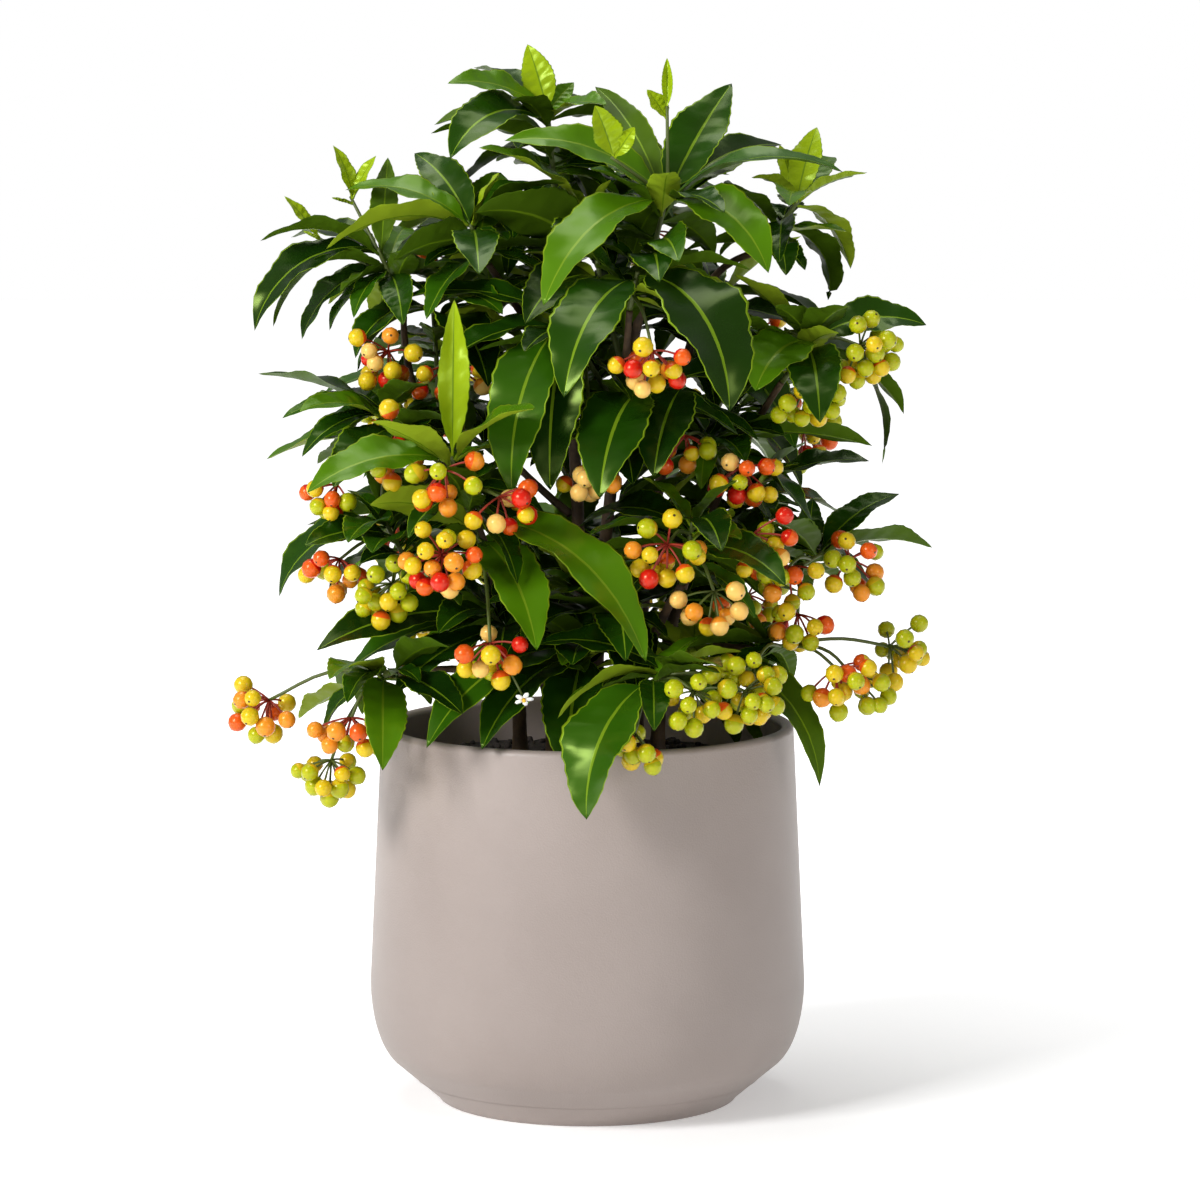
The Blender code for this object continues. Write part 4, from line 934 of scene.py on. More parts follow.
def pot_outside(height):
    """The outer radius of the pot's upper side at a height."""
    share = (height - POT_WIDEST_HEIGHT) / (POT_HEIGHT - POT_WIDEST_HEIGHT)
    return POT_WIDEST_RADIUS + (POT_LIP_RADIUS - POT_WIDEST_RADIUS) * share


def shoulder(inset, count):
    """Points of the round shoulder from its top to where the straight foot begins."""
    points = []
    for index in range(count + 1):
        sweep = math.radians(POT_SHOULDER_SWEEP) * index / count
        radius = POT_WIDEST_RADIUS - POT_SHOULDER_WIDTH * (1 - math.cos(sweep)) - inset
        drop = POT_SHOULDER_DEPTH * math.sin(sweep)
        height = POT_WIDEST_HEIGHT - drop + inset * SHOULDER_INSET_LIFT * math.sin(sweep)
        points.append((radius, height))
    return points


def lip(count):
    """Points over the rolled lip, from the inside to the outside."""
    round_radius = POT_WALL / 2
    middle = POT_LIP_RADIUS - round_radius
    points = []
    for index in range(count + 1):
        sweep = math.pi * (1 - index / count)
        points.append((
            middle + round_radius * math.cos(sweep),
            POT_HEIGHT - round_radius + round_radius * math.sin(sweep),
        ))
    return points


def inner_profile(inset):
    """The pot's inner side from the middle of its floor up to below the lip, moved in by inset."""
    side = list(reversed(shoulder(POT_WALL + inset, POT_STEPS_INSIDE)))
    floor_edge = side[0][0] - FLOOR_EDGE_INSET
    return [(0, POT_FLOOR + inset), (floor_edge, POT_FLOOR + inset)] + side


def fill_in(masses, space, count):
    """Smaller leaves for each shoot by the same rule, wherever there is still room."""
    for number, mass in enumerate(masses):
        chance = random.Random(SEED * 1000 + number)
        turn = chance.uniform(0, 360)
        for index in range(count):
            at = chance.uniform(FILL_LEAVES_FROM, 1.0)
            root = along(mass.stem.path, min(at, DEEPEST_ROOT))[0]
            for attempt in range(FILL_LEAF_TRIES):
                size = chance.uniform(*FILL_LEAF_SIZES) * (1 - FILL_LEAF_SHORTER * attempt)
                heading = (turn + GOLDEN_TURN * (index + attempt * TRY_TURN)) % 360
                leaf = Leaf(root, heading, chance.uniform(*FILL_LEAF_RISES),
                            chance.uniform(*FILL_LEAF_SAGS), size,
                            size * chance.uniform(*LEAF_PROPORTIONS),
                            chance.uniform(*FILL_LEAF_ROLLS), LEAF_FOLD,
                            chance.choice(("grown", "grown", "grown", "bright")))
                if grow_leaf(mass, space, leaf):
                    break


def fill_bunches(masses, space, count):
    """More berries for each bunch, closer together than the solids allow."""
    for number, mass in enumerate(masses):
        chance = random.Random(SEED * 2000 + number)
        for hub in mass.hubs:
            own = [berry for berry in mass.berries if berry.hub == hub]
            if not own:
                continue
            lean = sum((berry.centre - hub for berry in own), Vector()).normalized()
            added = 0
            for _ in range(FILL_BERRY_TRIES):
                if added == count + (LIME_EXTRA if own[0].tone == "lime" else 0):
                    break
                aim = Vector((chance.gauss(0, 1), chance.gauss(0, 1), chance.gauss(0, 1))).normalized()
                aim = (aim + lean * FILL_BERRY_LEAN + Vector((0, 0, -FILL_BERRY_DROOP))).normalized()
                centre = hub + aim * chance.uniform(*FILL_BERRY_REACH)
                radius = BERRY_RADIUS * chance.uniform(*FILL_BERRY_SIZES)
                ball = ball_shape(centre, radius * BERRY_SQUEEZE)
                if space.clear(mass.spec.name, ball, ball):
                    mass.berries.append(Berry(hub, centre, radius, own[0].tone))
                    space.add(mass.spec.name, ball_shape(centre, radius * BERRY_ROOM), ball)
                    added += 1


GROWN = {}


def grown_plant():
    """Limbs and masses, grown once and then shared by the operators."""
    if not GROWN:
        limbs, masses, space = grow()
        fill_bunches(masses, space, bpy.context.scene.ardisia_sizes.extra_berries)
        fill_in(masses, space, bpy.context.scene.ardisia_sizes.extra_leaves)
        GROWN["limbs"] = limbs
        GROWN["masses"] = masses
    return GROWN["limbs"], GROWN["masses"]


def from_screen(red, green, blue):
    """A linear colour from the 0 to 255 values that a screen shows."""
    return tuple(((value / 255 + 0.055) / 1.055) ** 2.4 for value in (red, green, blue))


def plain_material(name, colour, roughness, coat=0.0, subsurface=0.0, gloss=0.5, sheen=WHITE):
    """One plain finish; sheen is the colour of its reflections seen straight on."""
    material = bpy.data.materials.new(name)
    material.use_nodes = True
    shader = material.node_tree.nodes["Principled BSDF"]
    shader.inputs["Base Color"].default_value = (*colour[:3], 1.0)
    shader.inputs["Roughness"].default_value = roughness
    shader.inputs["Specular IOR Level"].default_value = gloss
    shader.inputs["Specular Tint"].default_value = (*sheen, 1.0)
    shader.inputs["Coat Weight"].default_value = coat
    shader.inputs["Coat Roughness"].default_value = COAT_ROUGHNESS
    shader.inputs["Subsurface Weight"].default_value = subsurface
    shader.inputs["Subsurface Scale"].default_value = SUBSURFACE_DEPTH
    material.diffuse_color = (*colour[:3], 1.0)
    return material


def mottled_material(name, dark, light, roughness, scale, detail, bump_depth, bump_scale):
    """A finish that wanders between two colours and has a fine grain, by the object's own place."""
    material = plain_material(name, light, roughness)
    nodes = material.node_tree.nodes
    links = material.node_tree.links
    shader = nodes["Principled BSDF"]
    place_node = nodes.new("ShaderNodeTexCoord")
    patches = nodes.new("ShaderNodeTexNoise")
    patches.inputs["Scale"].default_value = scale
    patches.inputs["Detail"].default_value = detail
    ramp = nodes.new("ShaderNodeValToRGB")
    for stop, edge, colour in zip(ramp.color_ramp.elements, PATCH_EDGES, (dark, light)):
        stop.position = edge
        stop.color = (*colour[:3], 1.0)
    grain = nodes.new("ShaderNodeTexNoise")
    grain.inputs["Scale"].default_value = bump_scale
    grain.inputs["Detail"].default_value = GRAIN_DETAIL
    bump = nodes.new("ShaderNodeBump")
    bump.inputs["Distance"].default_value = bump_depth
    bump.inputs["Strength"].default_value = GRAIN_STRENGTH
    links.new(place_node.outputs["Object"], patches.inputs["Vector"])
    links.new(place_node.outputs["Object"], grain.inputs["Vector"])
    links.new(patches.outputs["Fac"], ramp.inputs["Fac"])
    links.new(ramp.outputs["Color"], shader.inputs["Base Color"])
    links.new(grain.outputs["Fac"], bump.inputs["Height"])
    links.new(bump.outputs["Normal"], shader.inputs["Normal"])
    return material


class Heap:
    """Corners and faces of many small shapes that become one mesh, with a material for each face."""

    def __init__(self):
        self.corners = []
        self.faces = []
        self.kinds = []

    def add(self, corners, faces, kinds):
        first = len(self.corners)
        self.corners += [corner * MM for corner in corners]
        self.faces += [tuple(first + index for index in face) for face in faces]
        self.kinds += kinds if isinstance(kinds, list) else [kinds] * len(faces)

    def mesh(self, name, materials):
        mesh = bpy.data.meshes.new(name)
        mesh.from_pydata(self.corners, [], self.faces)
        for material in materials:
            mesh.materials.append(material)
        mesh.polygons.foreach_set("material_index", self.kinds)
        mesh.shade_smooth()
        mesh.update()
        return mesh


def finish_piece(item, nodes):
    """Ties a piece to the body and hides the solids that it stands for."""
    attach(item, "root")
    if nodes:
        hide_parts(*nodes)


def add_piece(name, heap, materials, nodes=()):
    item = bpy.data.objects.new(name, heap.mesh(name, materials))
    bpy.context.scene.collection.objects.link(item)
    finish_piece(item, nodes)
    return item


def turned_piece(name, profile, steps, material):
    """A profile of (radius, height) points turned round the upright axis."""
    bpy.ops.object.select_all(action="DESELECT")
    mesh = bpy.data.meshes.new(name)
    corners = [(radius * MM, 0, height * MM) for radius, height in profile]
    mesh.from_pydata(corners, [(i, i + 1) for i in range(len(corners) - 1)], [])
    item = bpy.data.objects.new(name, mesh)
    bpy.context.scene.collection.objects.link(item)
    bpy.context.view_layer.objects.active = item
    item.select_set(True)
    screw = item.modifiers.new("turn", "SCREW")
    screw.steps = steps
    screw.render_steps = steps
    screw.use_merge_vertices = True
    screw.merge_threshold = MERGE_DISTANCE
    bpy.ops.object.modifier_apply(modifier=screw.name)
    item.data.materials.clear()
    item.data.materials.append(material)
    item.data.shade_smooth()
    return item


def smooth_path(path, steps):
    """A path with more points, on a curve through the points of the first one."""
    ends = [path[0] * 2 - path[1]] + list(path) + [path[-1] * 2 - path[-2]]
    points = []
    for index in range(1, len(ends) - 2):
        a, b, c, d = ends[index - 1:index + 3]
        for step in range(steps):
            t = step / steps
            points.append(0.5 * (b * 2 + (c - a) * t + (a * 2 - b * 5 + c * 4 - d) * t ** 2
                                 + (b * 3 - a - c * 3 + d) * t ** 3))
    points.append(path[-1].copy())
    return points


def tube(path, radii, sides):
    """Corners and faces of a closed tube that doesn't twist along its path."""
    corners = []
    tangent = (path[1] - path[0]).normalized()
    across = tangent.orthogonal().normalized()
    for index, (point, radius) in enumerate(zip(path, radii)):
        after = path[min(index + 1, len(path) - 1)] - path[max(index - 1, 0)]
        turned = after.normalized()
        across = (tangent.rotation_difference(turned) @ across).normalized()
        tangent = turned
        upward = tangent.cross(across)
        for side in range(sides):
            angle = math.tau * side / sides
            spoke = across * math.cos(angle) + upward * math.sin(angle)
            reach = radius(spoke, index) if callable(radius) else radius
            corners.append(point + spoke * reach)
    faces = ring_faces(len(path), sides)
    faces.append(tuple(range(sides))[::-1])
    faces.append(tuple(len(corners) - sides + side for side in range(sides)))
    return corners, faces


def bark_tube(stalk, is_stem):
    """A limb with the shallow ridges of its bark and the rings that fallen leaves left."""
    span = (stalk.path[-1] - stalk.path[0]).length / (len(stalk.path) - 1)
    steps = max(3, round(span / BARK_STEP))
    path = smooth_path(stalk.path, steps)
    last = len(path) - 1
    radii = []
    travelled = 0.0
    for index, point in enumerate(path):
        if index:
            travelled += (point - path[index - 1]).length
        base = radius_at(stalk, index / last)
        if is_stem and travelled < FLARE_HEIGHT:
            base *= 1 + (STEM_FLARE - 1) * (1 - travelled / FLARE_HEIGHT)
        scar = SCAR_HEIGHT if travelled % SCAR_SPACING < SCAR_LENGTH else 0.0

        def ridge(spoke, _, base=base, scar=scar, point=point):
            around = Vector([value * BARK_RELIEF_ROUND for value in spoke])
            rough = noise.noise(around + point * BARK_RELIEF_ALONG)
            return base * (1 + BARK_RELIEF * rough) + scar

        radii.append(ridge)
    return tube(path, radii, BARK_SIDES)


def leaf_width(u):
    """The share of a leaf's full width at a fraction of its length: a stalk, then a long oval."""
    if u <= STALK_SHARE:
        return 0.0
    t = (u - STALK_SHARE) / (1 - STALK_SHARE)
    return math.sin(math.pi * t ** WIDTH_SKEW) ** WIDTH_FULLNESS * (1 - WIDTH_TAPER * t)


def leaf_blade(leaf, chance, sizes):
    """Corners, faces and kinds of one leaf: stalk, folded and waved blade, rib, margin, underside."""
    path = sagging_path(leaf.root, leaf.heading, leaf.rise, leaf.sag, leaf.length, LEAF_STEPS)
    thickness = sizes.leaf_thickness / MM
    wave_height = sizes.leaf_wave / MM * leaf.width / WAVED_WIDTH
    wave_turn = chance.uniform(0, math.tau)
    waves = chance.uniform(*WAVES)
    fold = math.radians(leaf.fold)
    columns = len(LEAF_COLUMNS)
    last = LEAF_RINGS - 1
    upper = []
    lower = []
    for ring in range(LEAF_RINGS):
        u = ring / last
        point, across, upward = leaf_frame(leaf, path, u)
        width = leaf_width(u)
        teeth = 1 + TOOTH_DEPTH * (ring % 2) if TEETH_FROM < u < TEETH_TO else 1.0
        half = max(leaf.width / 2 * width * teeth, STALK_HALF_WIDTH * (1 - u))
        swell = sizes.stalk_thickness / MM * max(0.0, 1 - u / STALK_SWELL_TO)
        for column in LEAF_COLUMNS:
            side = abs(column)
            reach = column * half
            lift = side * half * math.sin(fold)
            lift += wave_height * width * side ** 2 * math.sin(math.tau * waves * u + wave_turn + column)
            vein = math.cos(math.tau * VEINS * (u - VEIN_SWEEP * side))
            lift += VEIN_HEIGHT * width * vein * side * (1 - side)
            lift -= GROOVE_DEPTH * width * (1 - min(1.0, side / GROOVE_HALF_WIDTH))
            top = point + across * reach * math.cos(fold) + upward * lift
            rib_depth = RIB_THICKNESS * width * (side < RIB_HALF_WIDTH)
            depth = (thickness + swell + rib_depth) * (1 - side ** 2)
            upper.append(top + upward * depth * DEPTH_ABOVE)
            lower.append(top - upward * depth * DEPTH_BELOW)
    corners = list(upper)
    under = {}
    for ring in range(LEAF_RINGS):
        for column in range(columns):
            key = ring * columns + column
            if ring in (0, last) or column in (0, columns - 1):
                under[key] = key
            else:
                under[key] = len(corners)
                corners.append(lower[key])
    tone = leaf.tone
    if tone == "grown":
        tone = chance.choice(("grown_dark", "grown", "grown", "grown_light"))
    blade_kind = LEAF_KINDS.index(tone)
    below = LEAF_KINDS.index("young_underside" if tone in ("young", "bright") else "underside")
    rib = LEAF_KINDS.index("rib")
    margin = LEAF_KINDS.index("margin")
    faces = []
    kinds = []
    for ring in range(last):
        for column in range(columns - 1):
            a = ring * columns + column
            b = a + columns
            on_rib = column == columns // 2 - 1
            on_margin = column in (0, columns - 2)
            # Both sides are cut along the same diagonal, so that neither comes through the other.
            # In the first and the last strip of a blade one such pair shares all three corners.
            for half in ((a, a + 1, b + 1), (a, b + 1, b)):
                faces.append(half)
                kinds.append(rib if on_rib else margin if on_margin else blade_kind)
                faces.append(tuple(under[index] for index in reversed(half)))
                kinds.append(rib if on_rib else below)
    return corners, faces, kinds


def berry_ball(berry, chance):
    """A round berry with the small dark point that its flower left, seen from its stalk."""
    axis = (berry.centre - berry.hub).normalized()
    axis = (axis + Vector((0, 0, -BERRY_HANG))).normalized()
    across = axis.orthogonal().normalized()
    upward = axis.cross(across)
    corners = []
    for polar in BERRY_RINGS:
        tilt = math.radians(polar)
        for side in range(BERRY_SEGMENTS):
            angle = math.tau * side / BERRY_SEGMENTS
            spoke = across * math.cos(angle) + upward * math.sin(angle)
            corners.append(berry.centre + (spoke * math.sin(tilt) - axis * math.cos(tilt)) * berry.radius)
    corners.append(berry.centre - axis * berry.radius * BERRY_STALK_END)
    corners.append(berry.centre + axis * berry.radius * BERRY_POINT_END)
    tone = chance.choice(BERRY_MIX[berry.tone])
    kind = BERRY_KINDS.index(tone)
    blush = kind
    if tone in BLUSH and chance.random() < BLUSH_CHANCE:
        blush = BERRY_KINDS.index(BLUSH[tone])
    apex = BERRY_KINDS.index("apex")
    # In this order of their corners the faces point inwards.
    faces = []
    kinds = []
    for ring in range(len(BERRY_RINGS) - 1):
        for side in range(BERRY_SEGMENTS):
            a = ring * BERRY_SEGMENTS + side
            b = ring * BERRY_SEGMENTS + (side + 1) % BERRY_SEGMENTS
            faces.append((a, a + BERRY_SEGMENTS, b + BERRY_SEGMENTS, b))
            kinds.append(blush if ring < BLUSH_RINGS else kind)
    foot = (len(BERRY_RINGS) - 1) * BERRY_SEGMENTS
    for side in range(BERRY_SEGMENTS):
        after = (side + 1) % BERRY_SEGMENTS
        faces.append((side, after, len(corners) - 2))
        kinds.append(blush)
        faces.append((foot + after, foot + side, len(corners) - 1))
        kinds.append(apex)
    return corners, faces, kinds


class ArdisiaSizes(PropertyGroup):
    pot_steps: IntProperty(
        name="Pot steps", description="Faces round the pot", default=128, min=24, max=256)
    extra_leaves: IntProperty(
        name="Extra leaves", description="Small leaves added to each shoot", default=13, min=0, max=20)
    extra_berries: IntProperty(
        name="Extra berries", description="Berries added to each bunch", default=4, min=0, max=10)
    leaf_thickness: FloatProperty(
        name="Leaf thickness", description="Thickness of a blade", default=0.00045,
        unit="LENGTH", precision=5)
    leaf_wave: FloatProperty(
        name="Leaf wave", description="Height of the waves of a leaf's edge", default=0.0014,
        unit="LENGTH", precision=5)
    stalk_thickness: FloatProperty(
        name="Leaf stalk", description="Thickness of a leaf's stalk", default=0.0011,
        unit="LENGTH", precision=5)
    soil_lumps: IntProperty(
        name="Soil lumps", description="Crumbs of bark and peat on the soil", default=420, min=0)


def colour_property(name, description, colour):
    return FloatVectorProperty(
        name=name, description=description, default=colour, subtype="COLOR", size=3, min=0, max=1)


class ArdisiaColours(PropertyGroup):
    pot: colour_property("Pot", "Warm grey stoneware", from_screen(152, 140, 134))
    pot_dark: colour_property("Pot patches", "Darker patches of the stoneware", from_screen(145, 133, 127))
    soil: colour_property("Soil", "Dark moist compost", from_screen(40, 31, 25))
    soil_dark: colour_property("Soil shade", "Wet compost", from_screen(20, 15, 12))
    bark: colour_property("Bark", "Smooth brown bark", from_screen(96, 74, 50))
    bark_dark: colour_property("Bark shade", "Darker bark", from_screen(58, 42, 28))
    twig: colour_property("Twig", "Young green wood", from_screen(78, 92, 30))
    fruit_stalk: colour_property("Berry stalk", "Reddish thin stalks", from_screen(150, 44, 26))
    grown_dark: colour_property("Dark leaf", "Old leaves", from_screen(14, 40, 2))
    grown: colour_property("Leaf", "Full-grown leaves", from_screen(23, 56, 2))
    grown_light: colour_property("Light leaf", "Full-grown leaves in light", from_screen(38, 76, 4))
    bright: colour_property("Bright leaf", "This season's leaves", from_screen(68, 108, 6))
    young: colour_property("Young leaf", "Leaves that just opened", from_screen(138, 162, 16))
    olive: colour_property("Olive leaf", "Leaves turned over", from_screen(60, 86, 8))
    underside: colour_property("Underside", "Underside of a leaf", from_screen(62, 88, 10))
    young_underside: colour_property("Young underside", "Underside of a young leaf",
                                     from_screen(130, 152, 30))
    rib: colour_property("Rib", "Pale midrib", from_screen(100, 128, 22))
    margin: colour_property("Margin", "Yellow-green edge", from_screen(112, 138, 20))
    red: colour_property("Red berry", "Ripe berries", from_screen(198, 22, 12))
    orange: colour_property("Orange berry", "Berries near ripe", from_screen(216, 84, 18))
    peach: colour_property("Peach berry", "Berries that turn", from_screen(222, 138, 34))
    pale: colour_property("Pale berry", "Berries with little colour", from_screen(228, 184, 96))
    yellow: colour_property("Yellow berry", "Berries that start to turn", from_screen(206, 178, 22))
    lime: colour_property("Lime berry", "Unripe berries", from_screen(166, 172, 12))
    apex: colour_property("Berry point", "Dark point of a berry", from_screen(52, 34, 20))
    petal: colour_property("Petal", "White petals", from_screen(250, 248, 244))
    stamen: colour_property("Stamen", "Yellow stamens", from_screen(226, 176, 40))
    floor: colour_property("Floor", "Plain pale floor", (0.97, 0.97, 0.97))


class ARDISIA_OT_pot(Operator):
    """Turn the pot with its shoulder and rolled lip, finer than its solid"""
    bl_idname = "ardisia.pot"
    bl_label = "Pot"

    def execute(self, context):
        colours = context.scene.ardisia_colours
        foot = [
            (POT_FOOT_RADIUS, POT_FOOT_ROUND),
            (POT_FOOT_RADIUS - FOOT_ROUND_IN * POT_FOOT_ROUND, FOOT_ROUND_UP * POT_FOOT_ROUND),
            (POT_FOOT_RADIUS - POT_FOOT_ROUND, 0),
            (0, 0),
        ]
        profile = inner_profile(0) + lip(POT_STEPS_LIP) + shoulder(0, POT_STEPS_SHOULDER) + foot
        material = mottled_material("stoneware", colours.pot_dark, colours.pot, roughness=0.42,
                                    scale=14, detail=5, bump_depth=0.0002, bump_scale=1500)
        item = turned_piece("stoneware_pot", profile, context.scene.ardisia_sizes.pot_steps, material)
        finish_piece(item, ["pot"])
        return {"FINISHED"}


class ARDISIA_OT_soil(Operator):
    """Fill the pot with soil that has an uneven top and crumbs of bark"""
    bl_idname = "ardisia.soil"
    bl_label = "Soil"

    def execute(self, context):
        colours = context.scene.ardisia_colours
        inner = pot_outside(SOIL_HEIGHT) - POT_WALL - GAP
        rings = [(inner * step / SOIL_RINGS, SOIL_HEIGHT - SOIL_DIP)
                 for step in range(SOIL_RINGS, -1, -1)]
        profile = list(reversed(inner_profile(GAP) + rings))
        material = mottled_material("compost", colours.soil_dark, colours.soil, roughness=0.9,
                                    scale=220, detail=6, bump_depth=0.001, bump_scale=700)
        item = turned_piece("compost_fill", profile, SOIL_STEPS, material)
        for corner in item.data.vertices:
            if corner.co.z > (SOIL_HEIGHT - SOIL_TOP) * MM:
                lumps = noise.fractal(corner.co * SOIL_RELIEF_SCALE, 1.0, 2.0, 4)
                corner.co.z += SOIL_RELIEF * lumps
        finish_piece(item, ["soil"])
        chance = random.Random(SEED)
        heap = Heap()
        for _ in range(context.scene.ardisia_sizes.soil_lumps):
            reach = (inner - CRUMB_EDGE) * math.sqrt(chance.random())
            size = chance.uniform(*CRUMB_SIZES)
            centre = place(chance.uniform(0, 360), reach, SOIL_HEIGHT + CRUMB_LIFT * size)
            turn = Quaternion(toward(chance.uniform(0, 360), CRUMB_TILT), chance.uniform(0, 6))
            corners, faces = ball_shape(Vector((0, 0, 0)), size)
            stretch = Vector((
                chance.uniform(*CRUMB_LENGTHS), chance.uniform(*CRUMB_WIDTHS), CRUMB_HEIGHT))
            heap.add([turn @ (corner * stretch) + centre for corner in corners], faces, 0)
        add_piece("compost_crumbs", heap, [material])
        return {"FINISHED"}


class ARDISIA_OT_stems(Operator):
    """Grow the stems and boughs with the relief of their bark"""
    bl_idname = "ardisia.stems"
    bl_label = "Stems and boughs"

    def execute(self, context):
        colours = context.scene.ardisia_colours
        material = mottled_material("bark", colours.bark_dark, colours.bark, roughness=0.7,
                                    scale=160, detail=5, bump_depth=0.0004, bump_scale=900)
        limbs, _ = grown_plant()
        heap = Heap()
        for name, limb in limbs.items():
            heap.add(*bark_tube(limb, name.endswith("stem")), 0)
        add_piece("bark_stems", heap, [material], list(limbs))
        return {"FINISHED"}


class ARDISIA_OT_twigs(Operator):
    """Grow the green shoots and the stalks of the berry bunches"""
    bl_idname = "ardisia.twigs"
    bl_label = "Twigs"

    def execute(self, context):
        colours = context.scene.ardisia_colours
        green = plain_material("green_twig", colours.twig, roughness=TWIG_ROUGHNESS)
        reddish = plain_material("berry_stalk", colours.fruit_stalk, roughness=TWIG_ROUGHNESS)
        _, masses = grown_plant()
        heap = Heap()
        for mass in masses:
            for stalk in mass.stalks:
                path = smooth_path(stalk.path, 4)
                last = len(path) - 1
                radii = [radius_at(stalk, index / last) for index in range(len(path))]
                heap.add(*tube(path, radii, TWIG_SIDES), 0)
            for berry in mass.berries:
                reach = berry.centre - berry.hub
                out = berry.hub + reach * 0.5 + Vector((0, 0, BERRY_STALK_BOW * reach.length))
                path = bowed_path(berry.hub, out, berry.centre, 4)
                kind = 1 if berry.tone in ("ripe", "turning") else 0
                heap.add(*tube(path, BERRY_STALK_RADII, STALK_SIDES), kind)
        add_piece("green_twigs", heap, [green, reddish])
        return {"FINISHED"}


class ARDISIA_OT_leaves(Operator):
    """Lay out the glossy leaves with ribs, pale margins and lighter undersides"""
    bl_idname = "ardisia.leaves"
    bl_label = "Leaves"

    def execute(self, context):
        colours = context.scene.ardisia_colours
        materials = []
        for kind in LEAF_KINDS:
            matt = kind in MATT_KINDS
            materials.append(plain_material(
                f"leaf_{kind}", getattr(colours, kind), roughness=0.5 if matt else 0.27,
                gloss=0.25 if matt else 0.5, sheen=LEAF_SHEEN))
        _, masses = grown_plant()
        groups = {}
        for mass in masses:
            middle = mass.stem.path[-1]
            side = "front" if middle.y < 0 else "back"
            level = "upper" if middle.z > UPPER_LEAVES_FROM else "lower"
            groups.setdefault(f"leaves_{side}_{level}", []).append(mass)
        chance = random.Random(SEED + 1)
        for name, group in groups.items():
            heap = Heap()
            for mass in group:
                for leaf in mass.leaves:
                    heap.add(*leaf_blade(leaf, chance, context.scene.ardisia_sizes))
            nodes = [mass.spec.name for mass in group]
            add_piece(name, heap, materials, nodes)
        return {"FINISHED"}


class ARDISIA_OT_berries(Operator):
    """Hang the berries, from unripe lime to ripe red"""
    bl_idname = "ardisia.berries"
    bl_label = "Berries"

    def execute(self, context):
        colours = context.scene.ardisia_colours
        materials = [
            plain_material(f"berry_{kind}", getattr(colours, kind), roughness=0.28, coat=0.12,
                           subsurface=0.15, sheen=FRUIT_SHEEN)
            for kind in BERRY_KINDS
        ]
        _, masses = grown_plant()
        chance = random.Random(SEED + 2)
        heap = Heap()
        for mass in masses:
            for berry in mass.berries:
                heap.add(*berry_ball(berry, chance))
        add_piece("berries", heap, materials)
        return {"FINISHED"}


class ARDISIA_OT_flower(Operator):
    """Open the one small white flower on the nearest bunch"""
    bl_idname = "ardisia.flower"
    bl_label = "Flower"

    def execute(self, context):
        colours = context.scene.ardisia_colours
        petal = plain_material("petal", colours.petal, roughness=0.5, subsurface=0.1)
        stamen = plain_material("stamen", colours.stamen, roughness=0.6)
        stalk = plain_material("flower_stalk", colours.twig, roughness=TWIG_ROUGHNESS)
        _, masses = grown_plant()
        hubs = [hub for mass in masses for hub in mass.hubs]
        hub = min(hubs, key=lambda point: (point - FLOWER_PLACE).length)
        heap = Heap()
        path = bowed_path(hub, (hub + FLOWER_PLACE) / 2 + Vector((0, 0, 3)), FLOWER_PLACE, 5)
        heap.add(*tube(path, [FLOWER_STALK_RADIUS] * len(path), STALK_SIDES), 2)
        turn = FLOWER_AIM.to_track_quat("Z", "Y")
        length, width, thickness = PETAL_SIZE
        for index in range(PETALS):
            spoke = turn @ Quaternion(Vector((0, 0, 1)), math.tau * index / PETALS)
            corners, faces = ball_shape(Vector((0, 0, 0)), 1.0)
            shaped = [
                Vector((length * corner.x + PETAL_OUT, width * corner.y, thickness * corner.z + PETAL_UP))
                for corner in corners
            ]
            heap.add([spoke @ corner + FLOWER_PLACE for corner in shaped], faces, 0)
        heap.add(*ball_shape(FLOWER_PLACE + FLOWER_AIM * STAMEN_UP, STAMEN_RADIUS), 1)
        add_piece("flower", heap, [petal, stamen, stalk])
        return {"FINISHED"}


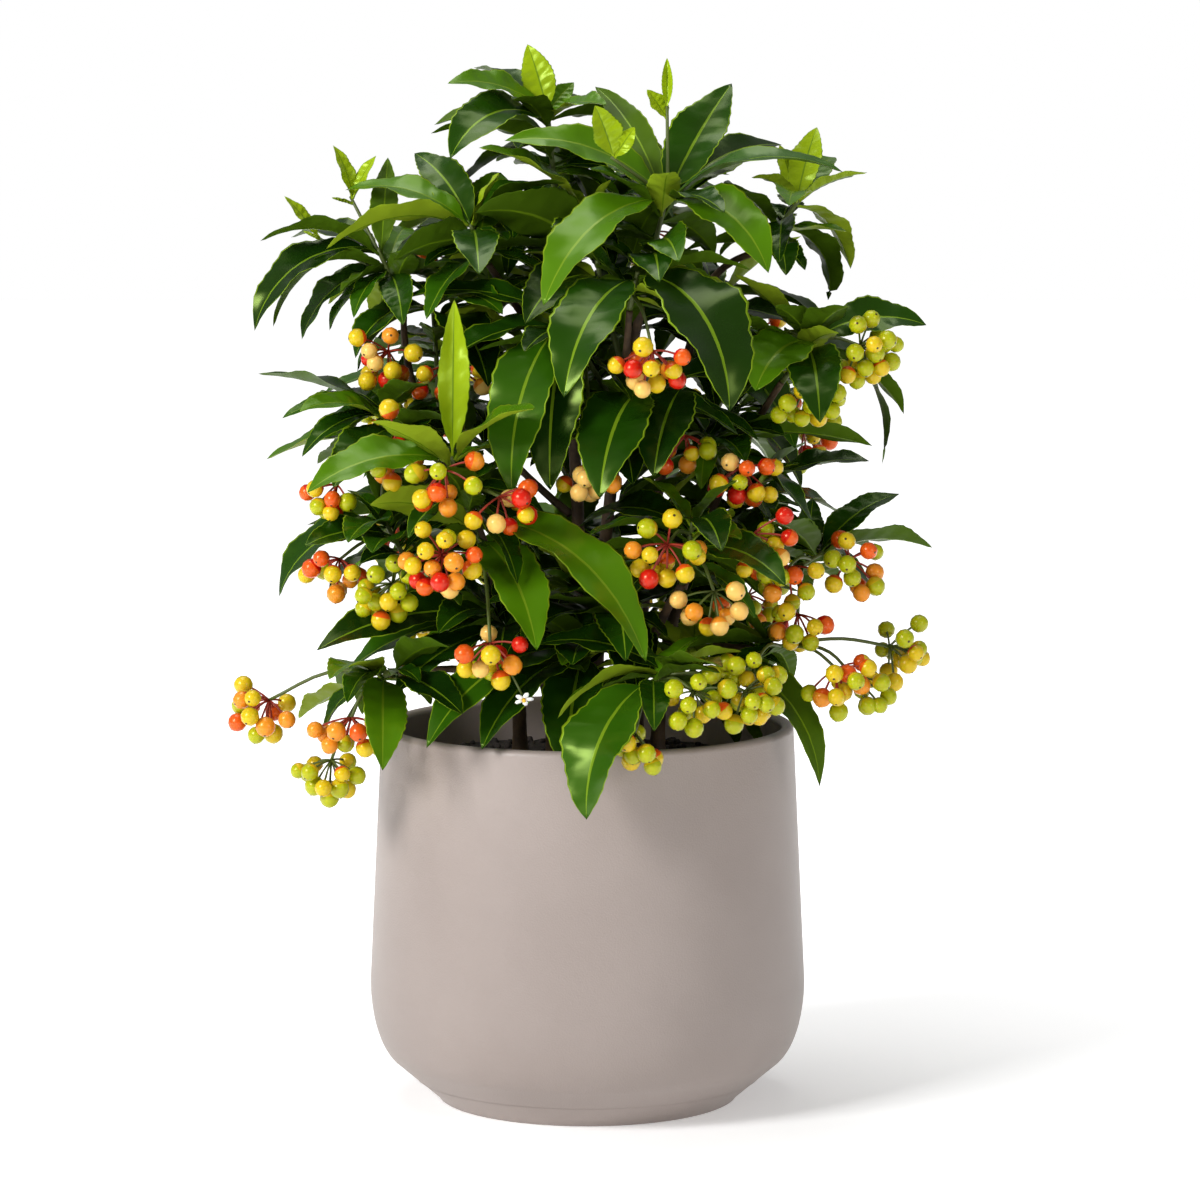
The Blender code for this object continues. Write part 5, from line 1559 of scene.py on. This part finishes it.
class ARDISIA_OT_stage(Operator):
    """Set the pale floor, which glows less near the pot as a painted shadow round its foot, the soft
    lights and the camera
    """
    bl_idname = "ardisia.stage"
    bl_label = "Stage"

    def execute(self, context):
        colours = context.scene.ardisia_colours
        bpy.ops.object.select_all(action="DESELECT")
        bpy.ops.mesh.primitive_plane_add(size=FLOOR_SIZE, location=(0, 0, 0))
        floor = context.active_object
        floor.name = "floor"
        pale = plain_material("floor", colours.floor, roughness=0.8)
        shader = pale.node_tree.nodes["Principled BSDF"]
        # The floor glows more the farther it lies from the pot, so that the dimmer glow near the pot is a
        # painted shadow round its foot.
        shader.inputs["Emission Color"].default_value = (1.0, 1.0, 1.0, 1.0)
        place_node = pale.node_tree.nodes.new("ShaderNodeTexCoord")
        reach = pale.node_tree.nodes.new("ShaderNodeVectorMath")
        reach.operation = "LENGTH"
        painted_shadow_ramp = pale.node_tree.nodes.new("ShaderNodeMapRange")
        painted_shadow_ramp.interpolation_type = "SMOOTHSTEP"
        painted_shadow_ramp.inputs["From Min"].default_value = GLOW_STARTS
        painted_shadow_ramp.inputs["From Max"].default_value = GLOW_FULL
        painted_shadow_ramp.inputs["To Min"].default_value = PAINTED_SHADOW_GLOW
        painted_shadow_ramp.inputs["To Max"].default_value = FAR_GLOW
        pale.node_tree.links.new(place_node.outputs["Object"], reach.inputs[0])
        pale.node_tree.links.new(reach.outputs["Value"], painted_shadow_ramp.inputs["Value"])
        pale.node_tree.links.new(painted_shadow_ramp.outputs["Result"], shader.inputs["Emission Strength"])
        floor.data.materials.append(pale)
        for name, spot, size, power in LIGHTS:
            bpy.ops.object.light_add(type="AREA", location=spot)
            light = context.active_object
            light.name = name
            light.data.size = size
            light.data.energy = power
            aim = LIGHT_AIM - Vector(spot)
            light.rotation_euler = aim.to_track_quat("-Z", "Y").to_euler()
        world = bpy.data.worlds.new("studio")
        world.use_nodes = True
        background = world.node_tree.nodes["Background"]
        background.inputs["Color"].default_value = (1.0, 1.0, 1.0, 1.0)
        ray = world.node_tree.nodes.new("ShaderNodeLightPath")
        strength = world.node_tree.nodes.new("ShaderNodeMapRange")
        strength.inputs["To Min"].default_value = ROOM_LIGHT
        strength.inputs["To Max"].default_value = 1.0
        world.node_tree.links.new(ray.outputs["Is Camera Ray"], strength.inputs["Value"])
        world.node_tree.links.new(strength.outputs["Result"], background.inputs["Strength"])
        context.scene.world = world
        context.scene.view_settings.view_transform = "Standard"
        bpy.ops.object.camera_add(
            location=CAMERA_PLACE, rotation=(math.radians(CAMERA_TILT), 0, 0))
        camera = context.active_object
        camera.data.lens = CAMERA_LENS
        camera.data.sensor_width = CAMERA_SENSOR
        context.scene.camera = camera
        return {"FINISHED"}


OPERATORS = (
    ARDISIA_OT_pot,
    ARDISIA_OT_soil,
    ARDISIA_OT_stems,
    ARDISIA_OT_twigs,
    ARDISIA_OT_leaves,
    ARDISIA_OT_berries,
    ARDISIA_OT_flower,
    ARDISIA_OT_stage,
)


class ARDISIA_PT_panel(Panel):
    """The steps that dress the plant, in order"""
    bl_idname = "ARDISIA_PT_panel"
    bl_label = "Potted coral ardisia"
    bl_space_type = "VIEW_3D"
    bl_region_type = "UI"
    bl_category = "Ardisia"

    def draw(self, context):
        for operator in OPERATORS:
            self.layout.operator(operator.bl_idname)
        for group in (context.scene.ardisia_sizes, context.scene.ardisia_colours):
            for name in group.__annotations__:
                self.layout.prop(group, name)


CLASSES = (ArdisiaSizes, ArdisiaColours, *OPERATORS, ARDISIA_PT_panel)


def register():
    for item in CLASSES:
        bpy.utils.register_class(item)
    bpy.types.Scene.ardisia_sizes = PointerProperty(type=ArdisiaSizes)
    bpy.types.Scene.ardisia_colours = PointerProperty(type=ArdisiaColours)


def unregister():
    del bpy.types.Scene.ardisia_colours
    del bpy.types.Scene.ardisia_sizes
    for item in reversed(CLASSES):
        bpy.utils.unregister_class(item)


def main():
    register()
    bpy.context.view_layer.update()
    bpy.ops.ardisia.pot()
    bpy.ops.ardisia.soil()
    bpy.ops.ardisia.stems()
    bpy.ops.ardisia.twigs()
    bpy.ops.ardisia.leaves()
    bpy.ops.ardisia.berries()
    bpy.ops.ardisia.flower()
    bpy.ops.ardisia.stage()


if __name__ == "__main__":
    main()
